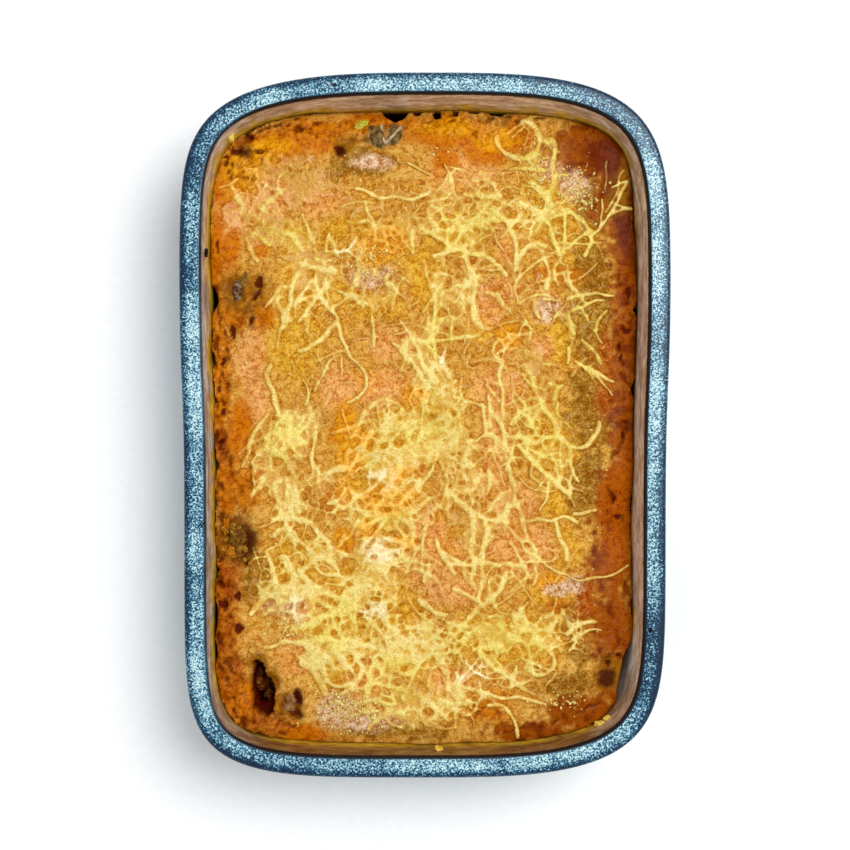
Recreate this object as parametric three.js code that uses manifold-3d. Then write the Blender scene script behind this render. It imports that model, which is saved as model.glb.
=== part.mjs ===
// A duck shepherd's pie in its stoneware dish.
//
// A rectangular oven dish with rounded corners and a broad flat rim is filled with a dark duck
// filling. A thick topping of sweet potato mash covers it, with grated cheese melted into a net
// on top. The mash has sunk away from the wall in places, and a pit in one corner shows the
// filling below. Pieces of duck and a folded slice of onion stand in the mash.
//
// Units are millimetres and +Z is up. The origin lies on the table under the middle of the dish,
// whose long side runs along Y. The far end is +Y and the near end is -Y.

import * as THREE from "three";
import { mergeVertices } from "three/addons/utils/BufferGeometryUtils.js";
import Module from "manifold-3d";

const wasm = await Module();
wasm.setup();

// Dish
const DISH_LENGTH = 270;
const DISH_HALF_WIDTH = 92.2; // at the near end
const FAR_END_FLARE = 2; // each side is this much further out towards the far end
const FLARE_MIDDLE = 16;
const FLARE_REACH = 24;
const DISH_HEIGHT = 60;
const RIM_WIDTH = 8.6;
const LIP_HEIGHT = 58; // where the rim's inner edge turns down into the wall
const WALL_DRAFT = 0.16; // the inner wall leans in by this much for each millimetre down
const FLOOR_HEIGHT = 7;
const FOOT_RING_WIDTH = 6;
const FOOT_RECESS = 1.2;
const STATIONS = 60; // points round the outline
const CORNER_WEIGHT = 42; // how strongly the stations crowd into the corners

// The corners are superellipse quarters, and a hand-made dish has four different ones.
const CORNERS = {
  farRight: { across: 3.3, along: 7.6 },
  farLeft: { across: 2.8, along: 8.8 },
  nearLeft: { across: 4.2, along: 9.6 },
  nearRight: { across: 3.2, along: 8.4 },
};

// Food
const CLEARANCE = 0.35; // between any two solids that touch
const FILLING_TOP = 26;
const PIE_LEVEL = 48.3; // the crust's height in the middle of the dish
const PIE_TILT = { x: -0.5, y: -1.2 }; // over the half width and the half length
const PIE_HALF = { x: 84, y: 126 };
const EDGE_DROP = { left: 0.6, right: 3.4, far: 6.5, near: 3 }; // the crust sinks at the wall
const EDGE_DROP_REACH = 7;
const CRUST_CELL = 7.5; // spacing of the crust's height grid

// Seeded numbers, so that the same pie comes out each time.
function seededRandom(seed) {
  let state = seed >>> 0;
  return () => {
    state = (Math.imul(state, 1664525) + 1013904223) >>> 0;
    return state / 4294967296;
  };
}

// Outline of the rim

function halfWidthAt(y) {
  const share = 0.5 * (1 + Math.tanh((y - FLARE_MIDDLE) / FLARE_REACH));
  return DISH_HALF_WIDTH + FAR_END_FLARE * share;
}

// Distance from the middle to the outline in one direction, found by halving.
function outlineRadius(angle) {
  const c = Math.cos(angle);
  const s = Math.sin(angle);
  const farCorner = c >= 0 ? CORNERS.farRight : CORNERS.farLeft;
  const nearCorner = c >= 0 ? CORNERS.nearRight : CORNERS.nearLeft;
  const corner = s >= 0 ? farCorner : nearCorner;
  let low = 0;
  let high = DISH_LENGTH;
  for (let i = 0; i < 44; i++) {
    const r = (low + high) / 2;
    const across = Math.abs((r * c) / halfWidthAt(r * s)) ** corner.across;
    const along = Math.abs((2 * r * s) / DISH_LENGTH) ** corner.along;
    if (across + along < 1) low = r;
    else high = r;
  }
  return low;
}

// The outline as stations, each with its outward normal. They stand closer where it bends.
function outlineStations(count) {
  const fine = 1440;
  const points = [];
  for (let i = 0; i < fine; i++) {
    const angle = (2 * Math.PI * i) / fine;
    const r = outlineRadius(angle);
    points.push(new THREE.Vector2(r * Math.cos(angle), r * Math.sin(angle)));
  }
  const at = (i) => points[(i + fine) % fine];
  const normals = points.map((_, i) => {
    const along = at(i + 4).clone().sub(at(i - 4)).normalize();
    return new THREE.Vector2(along.y, -along.x);
  });
  const travelled = [0];
  for (let i = 0; i < fine; i++) {
    const step = at(i + 1).distanceTo(at(i));
    const turn = Math.acos(Math.min(1, normals[i].dot(normals[(i + 1) % fine])));
    travelled.push(travelled[i] + step + CORNER_WEIGHT * turn);
  }
  const stations = [];
  let i = 0;
  for (let k = 0; k < count; k++) {
    const target = (travelled[fine] * k) / count;
    while (travelled[i + 1] <= target) i++;
    stations.push({ point: points[i], normal: normals[i] });
  }
  return stations;
}

const stations = outlineStations(STATIONS);

// Distance of the inner wall from the outline at one height.
function wallInset(z) {
  return RIM_WIDTH + WALL_DRAFT * (LIP_HEIGHT - z);
}

// A ring of points, set in from the outline. The inset may differ from station to station.
function ring(inset, z, scale = 1) {
  return stations.map(({ point, normal }, k) => {
    const depth = typeof inset === "function" ? inset(point, k) : inset;
    const p = point.clone().addScaledVector(normal, -depth).multiplyScalar(scale);
    return new THREE.Vector3(p.x, p.y, z);
  });
}

// Helpers for closed meshes

// Joins rings into a closed skin. The first and the last are capped about their middles.
function loft(rings) {
  const positions = rings.flat().flatMap((p) => [p.x, p.y, p.z]);
  const size = rings[0].length;
  const index = [];
  for (let i = 0; i + 1 < rings.length; i++) {
    for (let j = 0; j < size; j++) {
      const next = (j + 1) % size;
      const [a, b] = [i * size + j, i * size + next];
      const [c, d] = [(i + 1) * size + next, (i + 1) * size + j];
      index.push(a, b, c, a, c, d);
    }
  }
  const last = (rings.length - 1) * size;
  const [under, over] = [rings.length * size, rings.length * size + 1];
  positions.push(0, 0, rings[0][0].z, 0, 0, rings[rings.length - 1][0].z);
  for (let j = 0; j < size; j++) {
    const next = (j + 1) % size;
    index.push(under, next, j, over, last + j, last + next);
  }
  return closedGeometry(positions, index);
}

function closedGeometry(positions, index) {
  const geometry = new THREE.BufferGeometry();
  geometry.setAttribute("position", new THREE.Float32BufferAttribute(positions, 3));
  geometry.setIndex(index);
  return geometry;
}

function toSolid(geometry) {
  const bare = geometry.clone();
  bare.deleteAttribute("normal");
  bare.deleteAttribute("uv");
  const merged = mergeVertices(bare, 1e-4);
  return new wasm.Manifold(
    new wasm.Mesh({
      numProp: 3,
      vertProperties: merged.getAttribute("position").array,
      triVerts: new Uint32Array(merged.index.array),
    }),
  );
}

function toGeometry(solid) {
  const mesh = solid.getMesh();
  const positions = [];
  for (let i = 0; i < mesh.numVert; i++) {
    const start = i * mesh.numProp;
    positions.push(...mesh.vertProperties.subarray(start, start + 3));
  }
  const geometry = closedGeometry(positions, [...mesh.triVerts]);
  geometry.computeVertexNormals();
  return geometry;
}

// A rounded lump with an uneven skin, such as a piece of meat or a crumb of cheese.
function lumpGeometry(radii, detail, seed, roughness) {
  const draw = seededRandom(seed);
  const bumps = Array.from({ length: 5 }, () => ({
    way: new THREE.Vector3(draw() - 0.5, draw() - 0.5, draw() - 0.5).normalize(),
    beat: 2 + 3 * draw(),
    phase: 2 * Math.PI * draw(),
  }));
  const geometry = new THREE.IcosahedronGeometry(1, detail);
  const place = geometry.getAttribute("position");
  const p = new THREE.Vector3();
  for (let i = 0; i < place.count; i++) {
    p.fromBufferAttribute(place, i).normalize();
    let swell = 1;
    for (const { way, beat, phase } of bumps) {
      swell += roughness * 0.4 * Math.sin(beat * 2 * p.dot(way) + phase);
    }
    place.setXYZ(i, p.x * radii.x * swell, p.y * radii.y * swell, p.z * radii.z * swell);
  }
  return geometry;
}

// Dish

// Section of the dish from the middle of its base, up outside, over the rim and down inside.
function dishRings() {
  const footOuter = 15;
  const footInner = footOuter + FOOT_RING_WIDTH;
  const outside = [
    [footInner + 1, FOOT_RECESS],
    [footInner, 0],
    [footOuter, 0],
    [13.4, 1.4],
    [10.2, 5.2],
    [7.4, 12],
    [5, 24],
    [2.8, 42],
    [0.9, 55],
    [0, 57.6],
    [0.25, 59],
    [1.3, 59.8],
  ];
  const top = [
    [2.8, DISH_HEIGHT],
    [RIM_WIDTH - 2.2, DISH_HEIGHT],
    [RIM_WIDTH - 0.7, 59.5],
    [RIM_WIDTH, LIP_HEIGHT],
  ];
  const wallFoot = 20;
  const inside = [
    [wallInset(40), 40],
    [wallInset(wallFoot), wallFoot],
    [wallInset(wallFoot) + 1.6, 14],
    [wallInset(wallFoot) + 4.6, 9.4],
    [wallInset(wallFoot) + 8.4, FLOOR_HEIGHT],
  ];
  return [...outside, ...top, ...inside].map(([inset, z]) => ring(inset, z));
}

// Crumbs of cheese that have stuck to the inner wall above the pie, by compass angle.
const WALL_CHEESE = [
  { angle: -59.6, above: 1.6, radii: { x: 2.6, y: 1.2, z: 1.3 } },
  { angle: -57.4, above: 2.4, radii: { x: 2, y: 1.1, z: 1 } },
  { angle: -87.7, above: 2.6, radii: { x: 1.7, y: 1.2, z: 1.8 } },
  { angle: 124.6, above: 3.4, radii: { x: 1.2, y: 2.6, z: 1 } },
];

// The point of the inner wall in one direction at one height.
function wallPoint(angleDeg, z) {
  const angle = THREE.MathUtils.degToRad(angleDeg);
  const heading = new THREE.Vector2(Math.cos(angle), Math.sin(angle));
  const nearest = stations.reduce((best, station) => {
    const fits = station.point.clone().normalize().dot(heading);
    return fits > best.fits ? { fits, station } : best;
  }, { fits: -1, station: null }).station;
  const aim = heading.clone().multiplyScalar(outlineRadius(angle));
  const p = aim.addScaledVector(nearest.normal, -wallInset(z));
  return new THREE.Vector3(p.x, p.y, z);
}

// Pie surface

// The crust's lumps are waves of many lengths and headings, longest and tallest last.
const CRUST_WAVES = (() => {
  const draw = seededRandom(7);
  const count = 14;
  const [shortest, longest] = [18, 61];
  return Array.from({ length: count }, (_, i) => {
    const wavelength = shortest * (longest / shortest) ** (i / (count - 1));
    const heading = 2 * Math.PI * draw();
    const beat = (2 * Math.PI) / wavelength;
    return {
      x: beat * Math.cos(heading),
      y: beat * Math.sin(heading),
      phase: 2 * Math.PI * draw(),
      height: 0.0075 * wavelength,
    };
  });
})();

function crustLumps(x, y) {
  return CRUST_WAVES.reduce((sum, w) => sum + w.height * Math.sin(w.x * x + w.y * y + w.phase), 0);
}

// Height of the crust. It is nearly level, and sinks a different amount at each wall.
function pieSurface(x, y) {
  const inner = halfWidthAt(y) - wallInset(PIE_LEVEL);
  const innerEnd = DISH_LENGTH / 2 - wallInset(PIE_LEVEL);
  const sink = (drop, distance) => drop * Math.exp(-Math.max(distance, 0) / EDGE_DROP_REACH);
  const drops =
    sink(EDGE_DROP.left, inner + x) +
    sink(EDGE_DROP.right, inner - x) +
    sink(EDGE_DROP.far, innerEnd - y) +
    sink(EDGE_DROP.near, innerEnd + y);
  const tilt = (PIE_TILT.x * x) / PIE_HALF.x + (PIE_TILT.y * y) / PIE_HALF.y;
  return PIE_LEVEL + tilt + crustLumps(x, y) - drops;
}

// Pieces in the mash

const DUCK_PIECES = [
  { name: "duck_piece_back", x: -72.8, y: 52.2, radii: { x: 2.7, y: 4.9, z: 3 }, lift: 1.1, seed: 3 },
  { name: "duck_piece_side", x: -73.6, y: -44.8, radii: { x: 5.4, y: 9.2, z: 5 }, lift: 0.7, seed: 5 },
  { name: "duck_piece_front", x: -53, y: -108, radii: { x: 3, y: 4.4, z: 3 }, lift: 0.6, seed: 8 },
];

function duckSolid({ x, y, radii, lift, seed }, extra = 0) {
  const grown = { x: radii.x + extra, y: radii.y + extra, z: radii.z + extra };
  const lump = toSolid(lumpGeometry(grown, 2, seed, 0.16));
  return lump.translate([x, y, pieSurface(x, y) + lift - radii.z]);
}

// The onion slice is a thin leaf folded into a V, standing on edge in the mash.
const ONION_FOLD = [
  [-17.2, 117.6],
  [-16.9, 113.4],
  [-15.9, 109.6],
  [-13.4, 111.8],
  [-9.4, 116.9],
];
const ONION = { thickness: 1.5, depth: 6, lift: 1.6 };

function onionSolid(extra = 0) {
  const level = pieSurface(ONION_FOLD[2][0], ONION_FOLD[2][1]);
  const middle = level + ONION.lift - ONION.depth / 2;
  const path = new THREE.CatmullRomCurve3(
    ONION_FOLD.map(([x, y]) => new THREE.Vector3(x, y, middle)),
  );
  const section = new THREE.Shape();
  section.absellipse(0, 0, ONION.depth / 2 + extra, ONION.thickness / 2 + extra, 0, 2 * Math.PI);
  const leaf = new THREE.ExtrudeGeometry(section, {
    extrudePath: path,
    steps: 10,
    curveSegments: 4,
    bevelEnabled: false,
  });
  return toSolid(leaf);
}

// Hollows in the mash: the pit over the filling, and the gaps that have opened along the wall.
const PIT = { x: -63.8, y: -102, radii: { x: 5, y: 9.6, z: 15 }, turn: 8, detail: 2 };
const WALL_GAPS = [
  { x: -81.6, y: 49, radii: { x: 2, y: 4.4, z: 7 }, detail: 1 },
  { x: -14, y: 121, radii: { x: 3.6, y: 3, z: 8 }, detail: 1 },
  { x: 9, y: 121.5, radii: { x: 5, y: 2.2, z: 8 }, detail: 1 },
  { x: 25, y: 121.5, radii: { x: 6, y: 2, z: 8 }, detail: 1 },
  { x: 74, y: -98, radii: { x: 2.6, y: 5, z: 5 }, detail: 1 },
];

function hollowSolid({ x, y, radii, turn = 0, detail }) {
  const lump = toSolid(lumpGeometry(radii, detail, 21, 0.1));
  return lump.rotate([0, 0, turn]).translate([x, y, pieSurface(x, y)]);
}

// Cheese

// The main strands of melted cheese. Each is an arc: where it starts, its heading there in degrees,
// its length, how far it turns on the way in degrees, and its width.
const MAIN_STRANDS = [
  [-79, 85, -15, 56, -45, 4.4], [-68, -73, 57, 38, -115, 3.4], [-62, -86, 10, 46, -23, 2.8],
  [39, 119, -19, 34, -253, 3], [50, 112, -85, 30, -18, 3.4], [-51, -79, 7, 28, 39, 3.6],
  [-58, -37, 24, 31, -125, 3.2], [-34, -87, 18, 32, -249, 2.8], [-22, -75, -42, 29, -60, 3],
  [14, 69, -67, 29, -26, 3], [4, 66, 25, 31, -81, 2.8], [38, -46, -57, 48, 90, 1.8],
  [18, -34, -87, 27, -4, 3.2], [12, -102, -8, 35, -9, 2.4], [-43, -86, -91, 19, 28, 4],
  [-49, -57, -50, 25, 51, 2.8], [53, 84, -1, 25, -123, 2.8], [-27, 92, -28, 30, 52, 2.2],
  [31, -4, -22, 22, 41, 3], [53, -5, -59, 21, 161, 3.2], [-35, 42, -99, 20, -77, 3.2],
  [37, 87, -31, 26, -44, 2.4], [-2, 33, 4, 23, -1, 2.6], [36, 60, 106, 18, -128, 3.4],
  [-13, 32, -45, 23, -11, 2.6], [27, 82, -32, 25, -78, 2.4], [-61, 23, -91, 19, 28, 3],
  [-71, -16, 73, 22, -20, 2.4], [46, 8, -51, 15, -28, 3.4], [40, -96, -44, 19, 189, 2.6],
  [-49, -57, 63, 19, -121, 2.6], [78, 95, -104, 25, -34, 2], [-49, 58, -116, 19, 12, 2.6],
  [-28, 26, -26, 22, -140, 2.2], [-43, 58, -74, 19, 22, 2.6], [29, 23, -87, 20, 3, 2.4],
  [51, -37, -70, 16, -6, 2.8], [-5, 35, -72, 19, 5, 2.4], [-22, -2, -111, 18, -3, 2.4],
  [-45, -49, -93, 17, 104, 2.6], [25, -108, -12, 20, -79, 2.2], [-1, 77, -44, 16, 24, 2.6],
  [56, 49, 15, 18, -19, 2.2], [-61, -50, -74, 15, -5, 2.6],
];
const STRAND_STEP = 5.5;
const STRAND_HEIGHT = 1.3; // above the crust
const STRAND_SUNK = 0.8; // below it
const WALL_MARGIN = 3; // strands stop this far inside the wall

function insideCrust(x, y, margin) {
  const reach = outlineRadius(Math.atan2(y, x)) - wallInset(PIE_LEVEL) - margin;
  return Math.hypot(x, y) < reach;
}

// Points along an arc, as far as they lie on the crust.
function strandPath([startX, startY, startHeading, length, turn]) {
  const steps = Math.max(3, Math.round(length / STRAND_STEP));
  const path = [];
  let [x, y] = [startX, startY];
  for (let i = 0; i <= steps; i++) {
    if (insideCrust(x, y, WALL_MARGIN)) path.push(new THREE.Vector2(x, y));
    const heading = THREE.MathUtils.degToRad(startHeading + (turn * (i + 0.5)) / steps);
    x += (length / steps) * Math.cos(heading);
    y += (length / steps) * Math.sin(heading);
  }
  return path;
}

// A strand is a flat tube of four sides that follows the crust, narrow at both ends.
function strandSolid(strand) {
  const path = strandPath(strand);
  const width = strand[5];
  const section = [
    [-0.55, -STRAND_SUNK],
    [0.55, -STRAND_SUNK],
    [0.28, STRAND_HEIGHT],
    [-0.28, STRAND_HEIGHT],
  ];
  const sides = section.length;
  const positions = [];
  path.forEach((p, i) => {
    const before = path[Math.max(i - 1, 0)];
    const after = path[Math.min(i + 1, path.length - 1)];
    const along = after.clone().sub(before).normalize();
    const isEnd = i === 0 || i === path.length - 1;
    const wide = width * (isEnd ? 0.45 : 1);
    const tall = isEnd ? 0.6 : 1;
    for (const [across, up] of section) {
      const x = p.x + across * wide * along.y;
      const y = p.y - across * wide * along.x;
      positions.push(x, y, pieSurface(x, y) + up * tall);
    }
  });
  const index = [];
  for (let i = 0; i + 1 < path.length; i++) {
    for (let j = 0; j < sides; j++) {
      const next = (j + 1) % sides;
      const [a, b] = [i * sides + j, i * sides + next];
      const [c, d] = [(i + 1) * sides + next, (i + 1) * sides + j];
      index.push(a, c, b, a, d, c);
    }
  }
  const last = (path.length - 1) * sides;
  for (let j = 1; j + 1 < sides; j++) {
    index.push(0, j, j + 1, last, last + j + 1, last + j);
  }
  return toSolid(closedGeometry(positions, index));
}

// Where many strands have run together the cheese lies in low mounds.
const CHEESE_MOUNDS = [
  { x: -54, y: -6, radii: { x: 8.5, y: 9.5, z: 2.2 }, seed: 11 },
  { x: 33, y: -85, radii: { x: 18, y: 9, z: 1.9 }, seed: 12 },
  { x: -33, y: -84, radii: { x: 8, y: 9, z: 1.9 }, seed: 13 },
];

function moundSolid({ x, y, radii, seed }) {
  const lump = toSolid(lumpGeometry(radii, 2, seed, 0.12));
  return lump.translate([x, y, pieSurface(x, y)]);
}

// Mash topping

// The mash has drawn back from the wall here and there, most at the far end and on the left.
function wallRetreat(point) {
  const wander = Math.sin(point.y / 9 + 1) * Math.sin(point.y / 23) + Math.sin(point.x / 11);
  const isLeft = point.x < -70 ? 0.7 : 0;
  const isFar = point.y > 110 ? 0.9 : 0;
  return Math.max(0, (isLeft + isFar) * (0.5 + 0.5 * wander));
}

// A block whose top follows a height function over a grid, with a flat base.
function heightBlock(halfX, halfY, cell, base, height) {
  const nx = Math.round((2 * halfX) / cell);
  const ny = Math.round((2 * halfY) / cell);
  const positions = [];
  for (let j = 0; j <= ny; j++) {
    for (let i = 0; i <= nx; i++) {
      const x = -halfX + (2 * halfX * i) / nx;
      const y = -halfY + (2 * halfY * j) / ny;
      positions.push(x, y, height(x, y));
    }
  }
  const at = (i, j) => j * (nx + 1) + i;
  const index = [];
  for (let j = 0; j < ny; j++) {
    for (let i = 0; i < nx; i++) {
      const [a, b, c, d] = [at(i, j), at(i + 1, j), at(i + 1, j + 1), at(i, j + 1)];
      if ((i + j) % 2) index.push(a, b, c, a, c, d);
      else index.push(a, b, d, b, c, d);
    }
  }
  const border = [];
  for (let i = 0; i < nx; i++) border.push(at(i, 0));
  for (let j = 0; j < ny; j++) border.push(at(nx, j));
  for (let i = nx; i > 0; i--) border.push(at(i, ny));
  for (let j = ny; j > 0; j--) border.push(at(0, j));
  const lowStart = positions.length / 3;
  for (const k of border) positions.push(positions[3 * k], positions[3 * k + 1], base);
  const middle = positions.length / 3;
  positions.push(0, 0, base);
  border.forEach((top, k) => {
    const next = (k + 1) % border.length;
    const [low, lowNext] = [lowStart + k, lowStart + next];
    index.push(low, lowNext, border[next], low, border[next], top, middle, lowNext, low);
  });
  return closedGeometry(positions, index);
}

function mashSolid() {
  const base = FILLING_TOP + CLEARANCE;
  const ceiling = DISH_HEIGHT + 5;
  const fit = (z) => (point) => wallInset(z) + CLEARANCE + wallRetreat(point);
  const plug = toSolid(loft([ring(fit(base), base - 1), ring(fit(ceiling), ceiling)]));
  const block = heightBlock(PIE_HALF.x + 4, PIE_HALF.y + 4, CRUST_CELL, base, pieSurface);
  let mash = toSolid(block).intersect(plug);
  const holes = [PIT, ...WALL_GAPS].map(hollowSolid);
  for (const hole of holes) mash = mash.subtract(hole);
  for (const strand of MAIN_STRANDS) mash = mash.add(strandSolid(strand));
  for (const mound of CHEESE_MOUNDS) mash = mash.add(moundSolid(mound));
  const pocket = 2 * CLEARANCE;
  for (const piece of DUCK_PIECES) mash = mash.subtract(duckSolid(piece, pocket));
  return mash.subtract(onionSolid(pocket)).subtract(pitFilling(pocket));
}

// Filling

// Under the pit the filling stands up in a heap of duck pieces.
const PIT_HEAP = [
  { x: PIT.x, y: PIT.y, radii: { x: 8, y: 12, z: 9 }, seed: 31 },
  { x: PIT.x - 1.6, y: PIT.y + 0.6, radii: { x: 3, y: 4, z: 11.5 }, seed: 32 },
  { x: PIT.x + 1.8, y: PIT.y - 6, radii: { x: 2.6, y: 3, z: 12 }, seed: 33 },
];

function pitFilling(extra = 0) {
  return PIT_HEAP.map(({ x, y, radii, seed }) => {
    const grown = { x: radii.x + extra, y: radii.y + extra, z: radii.z + extra };
    return toSolid(lumpGeometry(grown, 2, seed, 0.14)).translate([x, y, FILLING_TOP - 1]);
  }).reduce((all, lump) => all.add(lump));
}

function fillingSolid() {
  const floor = FLOOR_HEIGHT + CLEARANCE;
  const wallFoot = 20;
  const fit = wallInset(wallFoot) + CLEARANCE;
  const body = loft([
    ring(fit + 8.5, floor),
    ring(fit + 4.8, 9.4 + CLEARANCE),
    ring(fit + 1.8, 14 + CLEARANCE),
    ring(fit, wallFoot + CLEARANCE),
    ring(wallInset(FILLING_TOP) + CLEARANCE, FILLING_TOP),
  ]);
  const heap = pitFilling();
  const wallSide = toSolid(
    loft([
      ring(wallInset(floor) + 12, floor + 1),
      ring(wallInset(DISH_HEIGHT) + 1, DISH_HEIGHT),
    ]),
  );
  return toSolid(body).add(heap.intersect(wallSide));
}

// Assembly

function material(color, roughness) {
  return new THREE.MeshStandardMaterial({ color, roughness, metalness: 0 });
}

const GLAZE = material("#6f9db5", 0.35);
const MASH = material("#d8923a", 0.75);
const GRAVY = material("#4a2410", 0.4);
const DUCK = material("#6d4a3a", 0.6);
const ONION_FLESH = material("#a98a5c", 0.45);

const pie = new THREE.Group();

function addNode(name, solid, finish) {
  const mesh = new THREE.Mesh(toGeometry(solid), finish);
  mesh.name = name;
  pie.add(mesh);
}

let dish = toSolid(loft(dishRings()));
for (const { angle, above, radii } of WALL_CHEESE) {
  const foot = wallPoint(angle, PIE_LEVEL);
  const z = pieSurface(foot.x, foot.y) + above + radii.z;
  const p = wallPoint(angle, z);
  dish = dish.add(toSolid(lumpGeometry(radii, 1, 41, 0.1)).translate([p.x, p.y, p.z]));
}

addNode("dish", dish, GLAZE);
addNode("filling", fillingSolid(), GRAVY);
addNode("mash_topping", mashSolid(), MASH);
for (const piece of DUCK_PIECES) addNode(piece.name, duckSolid(piece), DUCK);
addNode("onion_slice", onionSolid(), ONION_FLESH);

export default pie;
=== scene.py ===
# %% [markdown]
# # A duck shepherd's pie in its stoneware dish
#
# This lesson dresses a baked pie, seen from straight above. The dish is hand-made stoneware with
# a speckled blue rim and a beige inside. The pie has a topping of sweet potato mash, dry and
# sandy where it baked hard and bright orange where it stayed wet, and grated cheese that has
# melted into a net. In one corner the mash is broken and the dark duck filling shows.
#
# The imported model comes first. It fixes every size and place, and the pieces made here stand for
# its plain solids. All drawing below is done in millimetres and turned into metres at the end.

import math

import bmesh
import bpy
import numpy as np
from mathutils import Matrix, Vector


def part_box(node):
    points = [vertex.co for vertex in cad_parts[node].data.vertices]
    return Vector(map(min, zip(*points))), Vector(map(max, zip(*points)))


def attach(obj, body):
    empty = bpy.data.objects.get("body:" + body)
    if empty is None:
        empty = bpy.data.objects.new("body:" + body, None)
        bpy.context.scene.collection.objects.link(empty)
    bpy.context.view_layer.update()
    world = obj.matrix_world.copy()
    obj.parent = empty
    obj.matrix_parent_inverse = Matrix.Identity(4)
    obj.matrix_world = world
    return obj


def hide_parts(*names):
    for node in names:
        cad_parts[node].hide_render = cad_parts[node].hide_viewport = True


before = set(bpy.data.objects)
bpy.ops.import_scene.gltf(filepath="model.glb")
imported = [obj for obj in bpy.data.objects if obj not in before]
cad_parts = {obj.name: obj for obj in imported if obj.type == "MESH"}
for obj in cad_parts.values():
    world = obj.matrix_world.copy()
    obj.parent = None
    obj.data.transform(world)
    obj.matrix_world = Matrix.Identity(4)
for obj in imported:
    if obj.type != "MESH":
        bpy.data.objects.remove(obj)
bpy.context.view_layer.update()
dish_low, dish_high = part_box("dish")
MM = 0.001
DISH_LENGTH = (dish_high.y - dish_low.y) / MM
DISH_HEIGHT = dish_high.z / MM
print(f"the dish is {DISH_LENGTH:.1f} mm long and {DISH_HEIGHT:.1f} mm high")

# %% [markdown]
# ## Seeded numbers and noise
#
# A real pie is uneven everywhere, but it must come out the same each time the script runs. So
# every random number comes from a seed. Noise is made from a square lattice of random values that
# are blended smoothly in between. Adding finer and weaker copies gives it crumbs on its lumps.


# %% Random numbers and noise
def seeded_random(seed):
    """Gives the same row of numbers between 0 and 1 each time."""
    state = seed

    def draw():
        nonlocal state
        state = (state * 1664525 + 1013904223) % 4294967296
        return state / 4294967296

    return draw


def noise(x, y, size, seed):
    """Smooth noise from -1 to 1. Its lumps are about as wide as size."""
    lattice = np.random.default_rng(seed).uniform(-1, 1, (256, 256))
    u, v = x / size + 128, y / size + 128
    i, j = np.floor(u).astype(int), np.floor(v).astype(int)
    s, t = u - i, v - j
    s, t = s * s * (3 - 2 * s), t * t * (3 - 2 * t)
    i, j, right, up = i % 256, j % 256, (i + 1) % 256, (j + 1) % 256
    low = lattice[i, j] * (1 - s) + lattice[right, j] * s
    high = lattice[i, up] * (1 - s) + lattice[right, up] * s
    return low * (1 - t) + high * t


def rough(x, y, size, octaves, seed):
    """Noise with finer copies on top, each half as wide and half as strong."""
    total = sum(noise(x, y, size / 2**k, seed + k) / 2**k for k in range(octaves))
    return total / (2 - 2 / 2**octaves)


def smooth_step(low, high, value):
    t = np.clip((value - low) / (high - low), 0, 1)
    return t * t * (3 - 2 * t)


# %% [markdown]
# ## The outline of the dish
#
# The rim is not a plain rounded rectangle. A hand-made dish has four different corners, and this
# one is a little wider at its far end. A superellipse with its own exponents in each quarter
# gives that, and a smooth step in the half width gives the flare. The outline is kept as many
# points with their outward normals, because everything in the dish is set in from it.

# %% Outline
NEAR_HALF_WIDTH = 92.2
FAR_FLARE = 2
FLARE_MIDDLE = 16
FLARE_REACH = 24
CORNERS = {
    "far right": (3.3, 7.6),
    "far left": (2.8, 8.8),
    "near left": (4.2, 9.6),
    "near right": (3.2, 8.4),
}
OUTLINE_POINTS = 1440
HALVINGS = 44
TANGENT_REACH = 4  # points to each side that the outline's direction is measured over


def half_width(y):
    return NEAR_HALF_WIDTH + FAR_FLARE * 0.5 * (1 + np.tanh((y - FLARE_MIDDLE) / FLARE_REACH))


def outline_radius(angle):
    """Distance from the middle to the outline in one direction, found by halving."""
    c, s = math.cos(angle), math.sin(angle)
    side = ("far" if s >= 0 else "near") + (" right" if c >= 0 else " left")
    across, along = CORNERS[side]
    low, high = 0.0, DISH_LENGTH
    for _ in range(HALVINGS):
        r = (low + high) / 2
        inside = abs(r * c / half_width(r * s)) ** across + abs(2 * r * s / DISH_LENGTH) ** along
        low, high = (r, high) if inside < 1 else (low, r)
    return low


angles = np.arange(OUTLINE_POINTS) * 2 * math.pi / OUTLINE_POINTS
radii = np.array([outline_radius(a) for a in angles])
rim_points = np.stack([radii * np.cos(angles), radii * np.sin(angles)], axis=1)
rim_along = np.roll(rim_points, -TANGENT_REACH, axis=0) - np.roll(rim_points, TANGENT_REACH, axis=0)
rim_steps = np.linalg.norm(rim_along, axis=1) / (2 * TANGENT_REACH)
rim_along /= np.linalg.norm(rim_along, axis=1)[:, None]
rim_normals = np.stack([rim_along[:, 1], -rim_along[:, 0]], axis=1)
rim_lengths = np.cumsum(rim_steps)
print(f"the rim is {rim_lengths[-1]:.0f} mm round")


def rim_depth(x, y):
    """How far each point lies inside the rim's outline, and the number of the nearest point."""
    k = np.arctan2(y, x) / (2 * math.pi) * OUTLINE_POINTS
    for _ in range(12):
        i = np.round(k).astype(int) % OUTLINE_POINTS
        gap_x, gap_y = rim_points[i, 0] - x, rim_points[i, 1] - y
        slip = gap_x * rim_along[i, 0] + gap_y * rim_along[i, 1]
        k = i - 0.6 * slip / rim_steps[i]
    return gap_x * rim_normals[i, 0] + gap_y * rim_normals[i, 1], i


# %% [markdown]
# ## The height of the pie
#
# The crust is nearly level with long low lumps, and it sinks towards the wall by a different
# amount on each side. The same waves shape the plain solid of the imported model, so that the fine
# surface made here lies on it.

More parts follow.
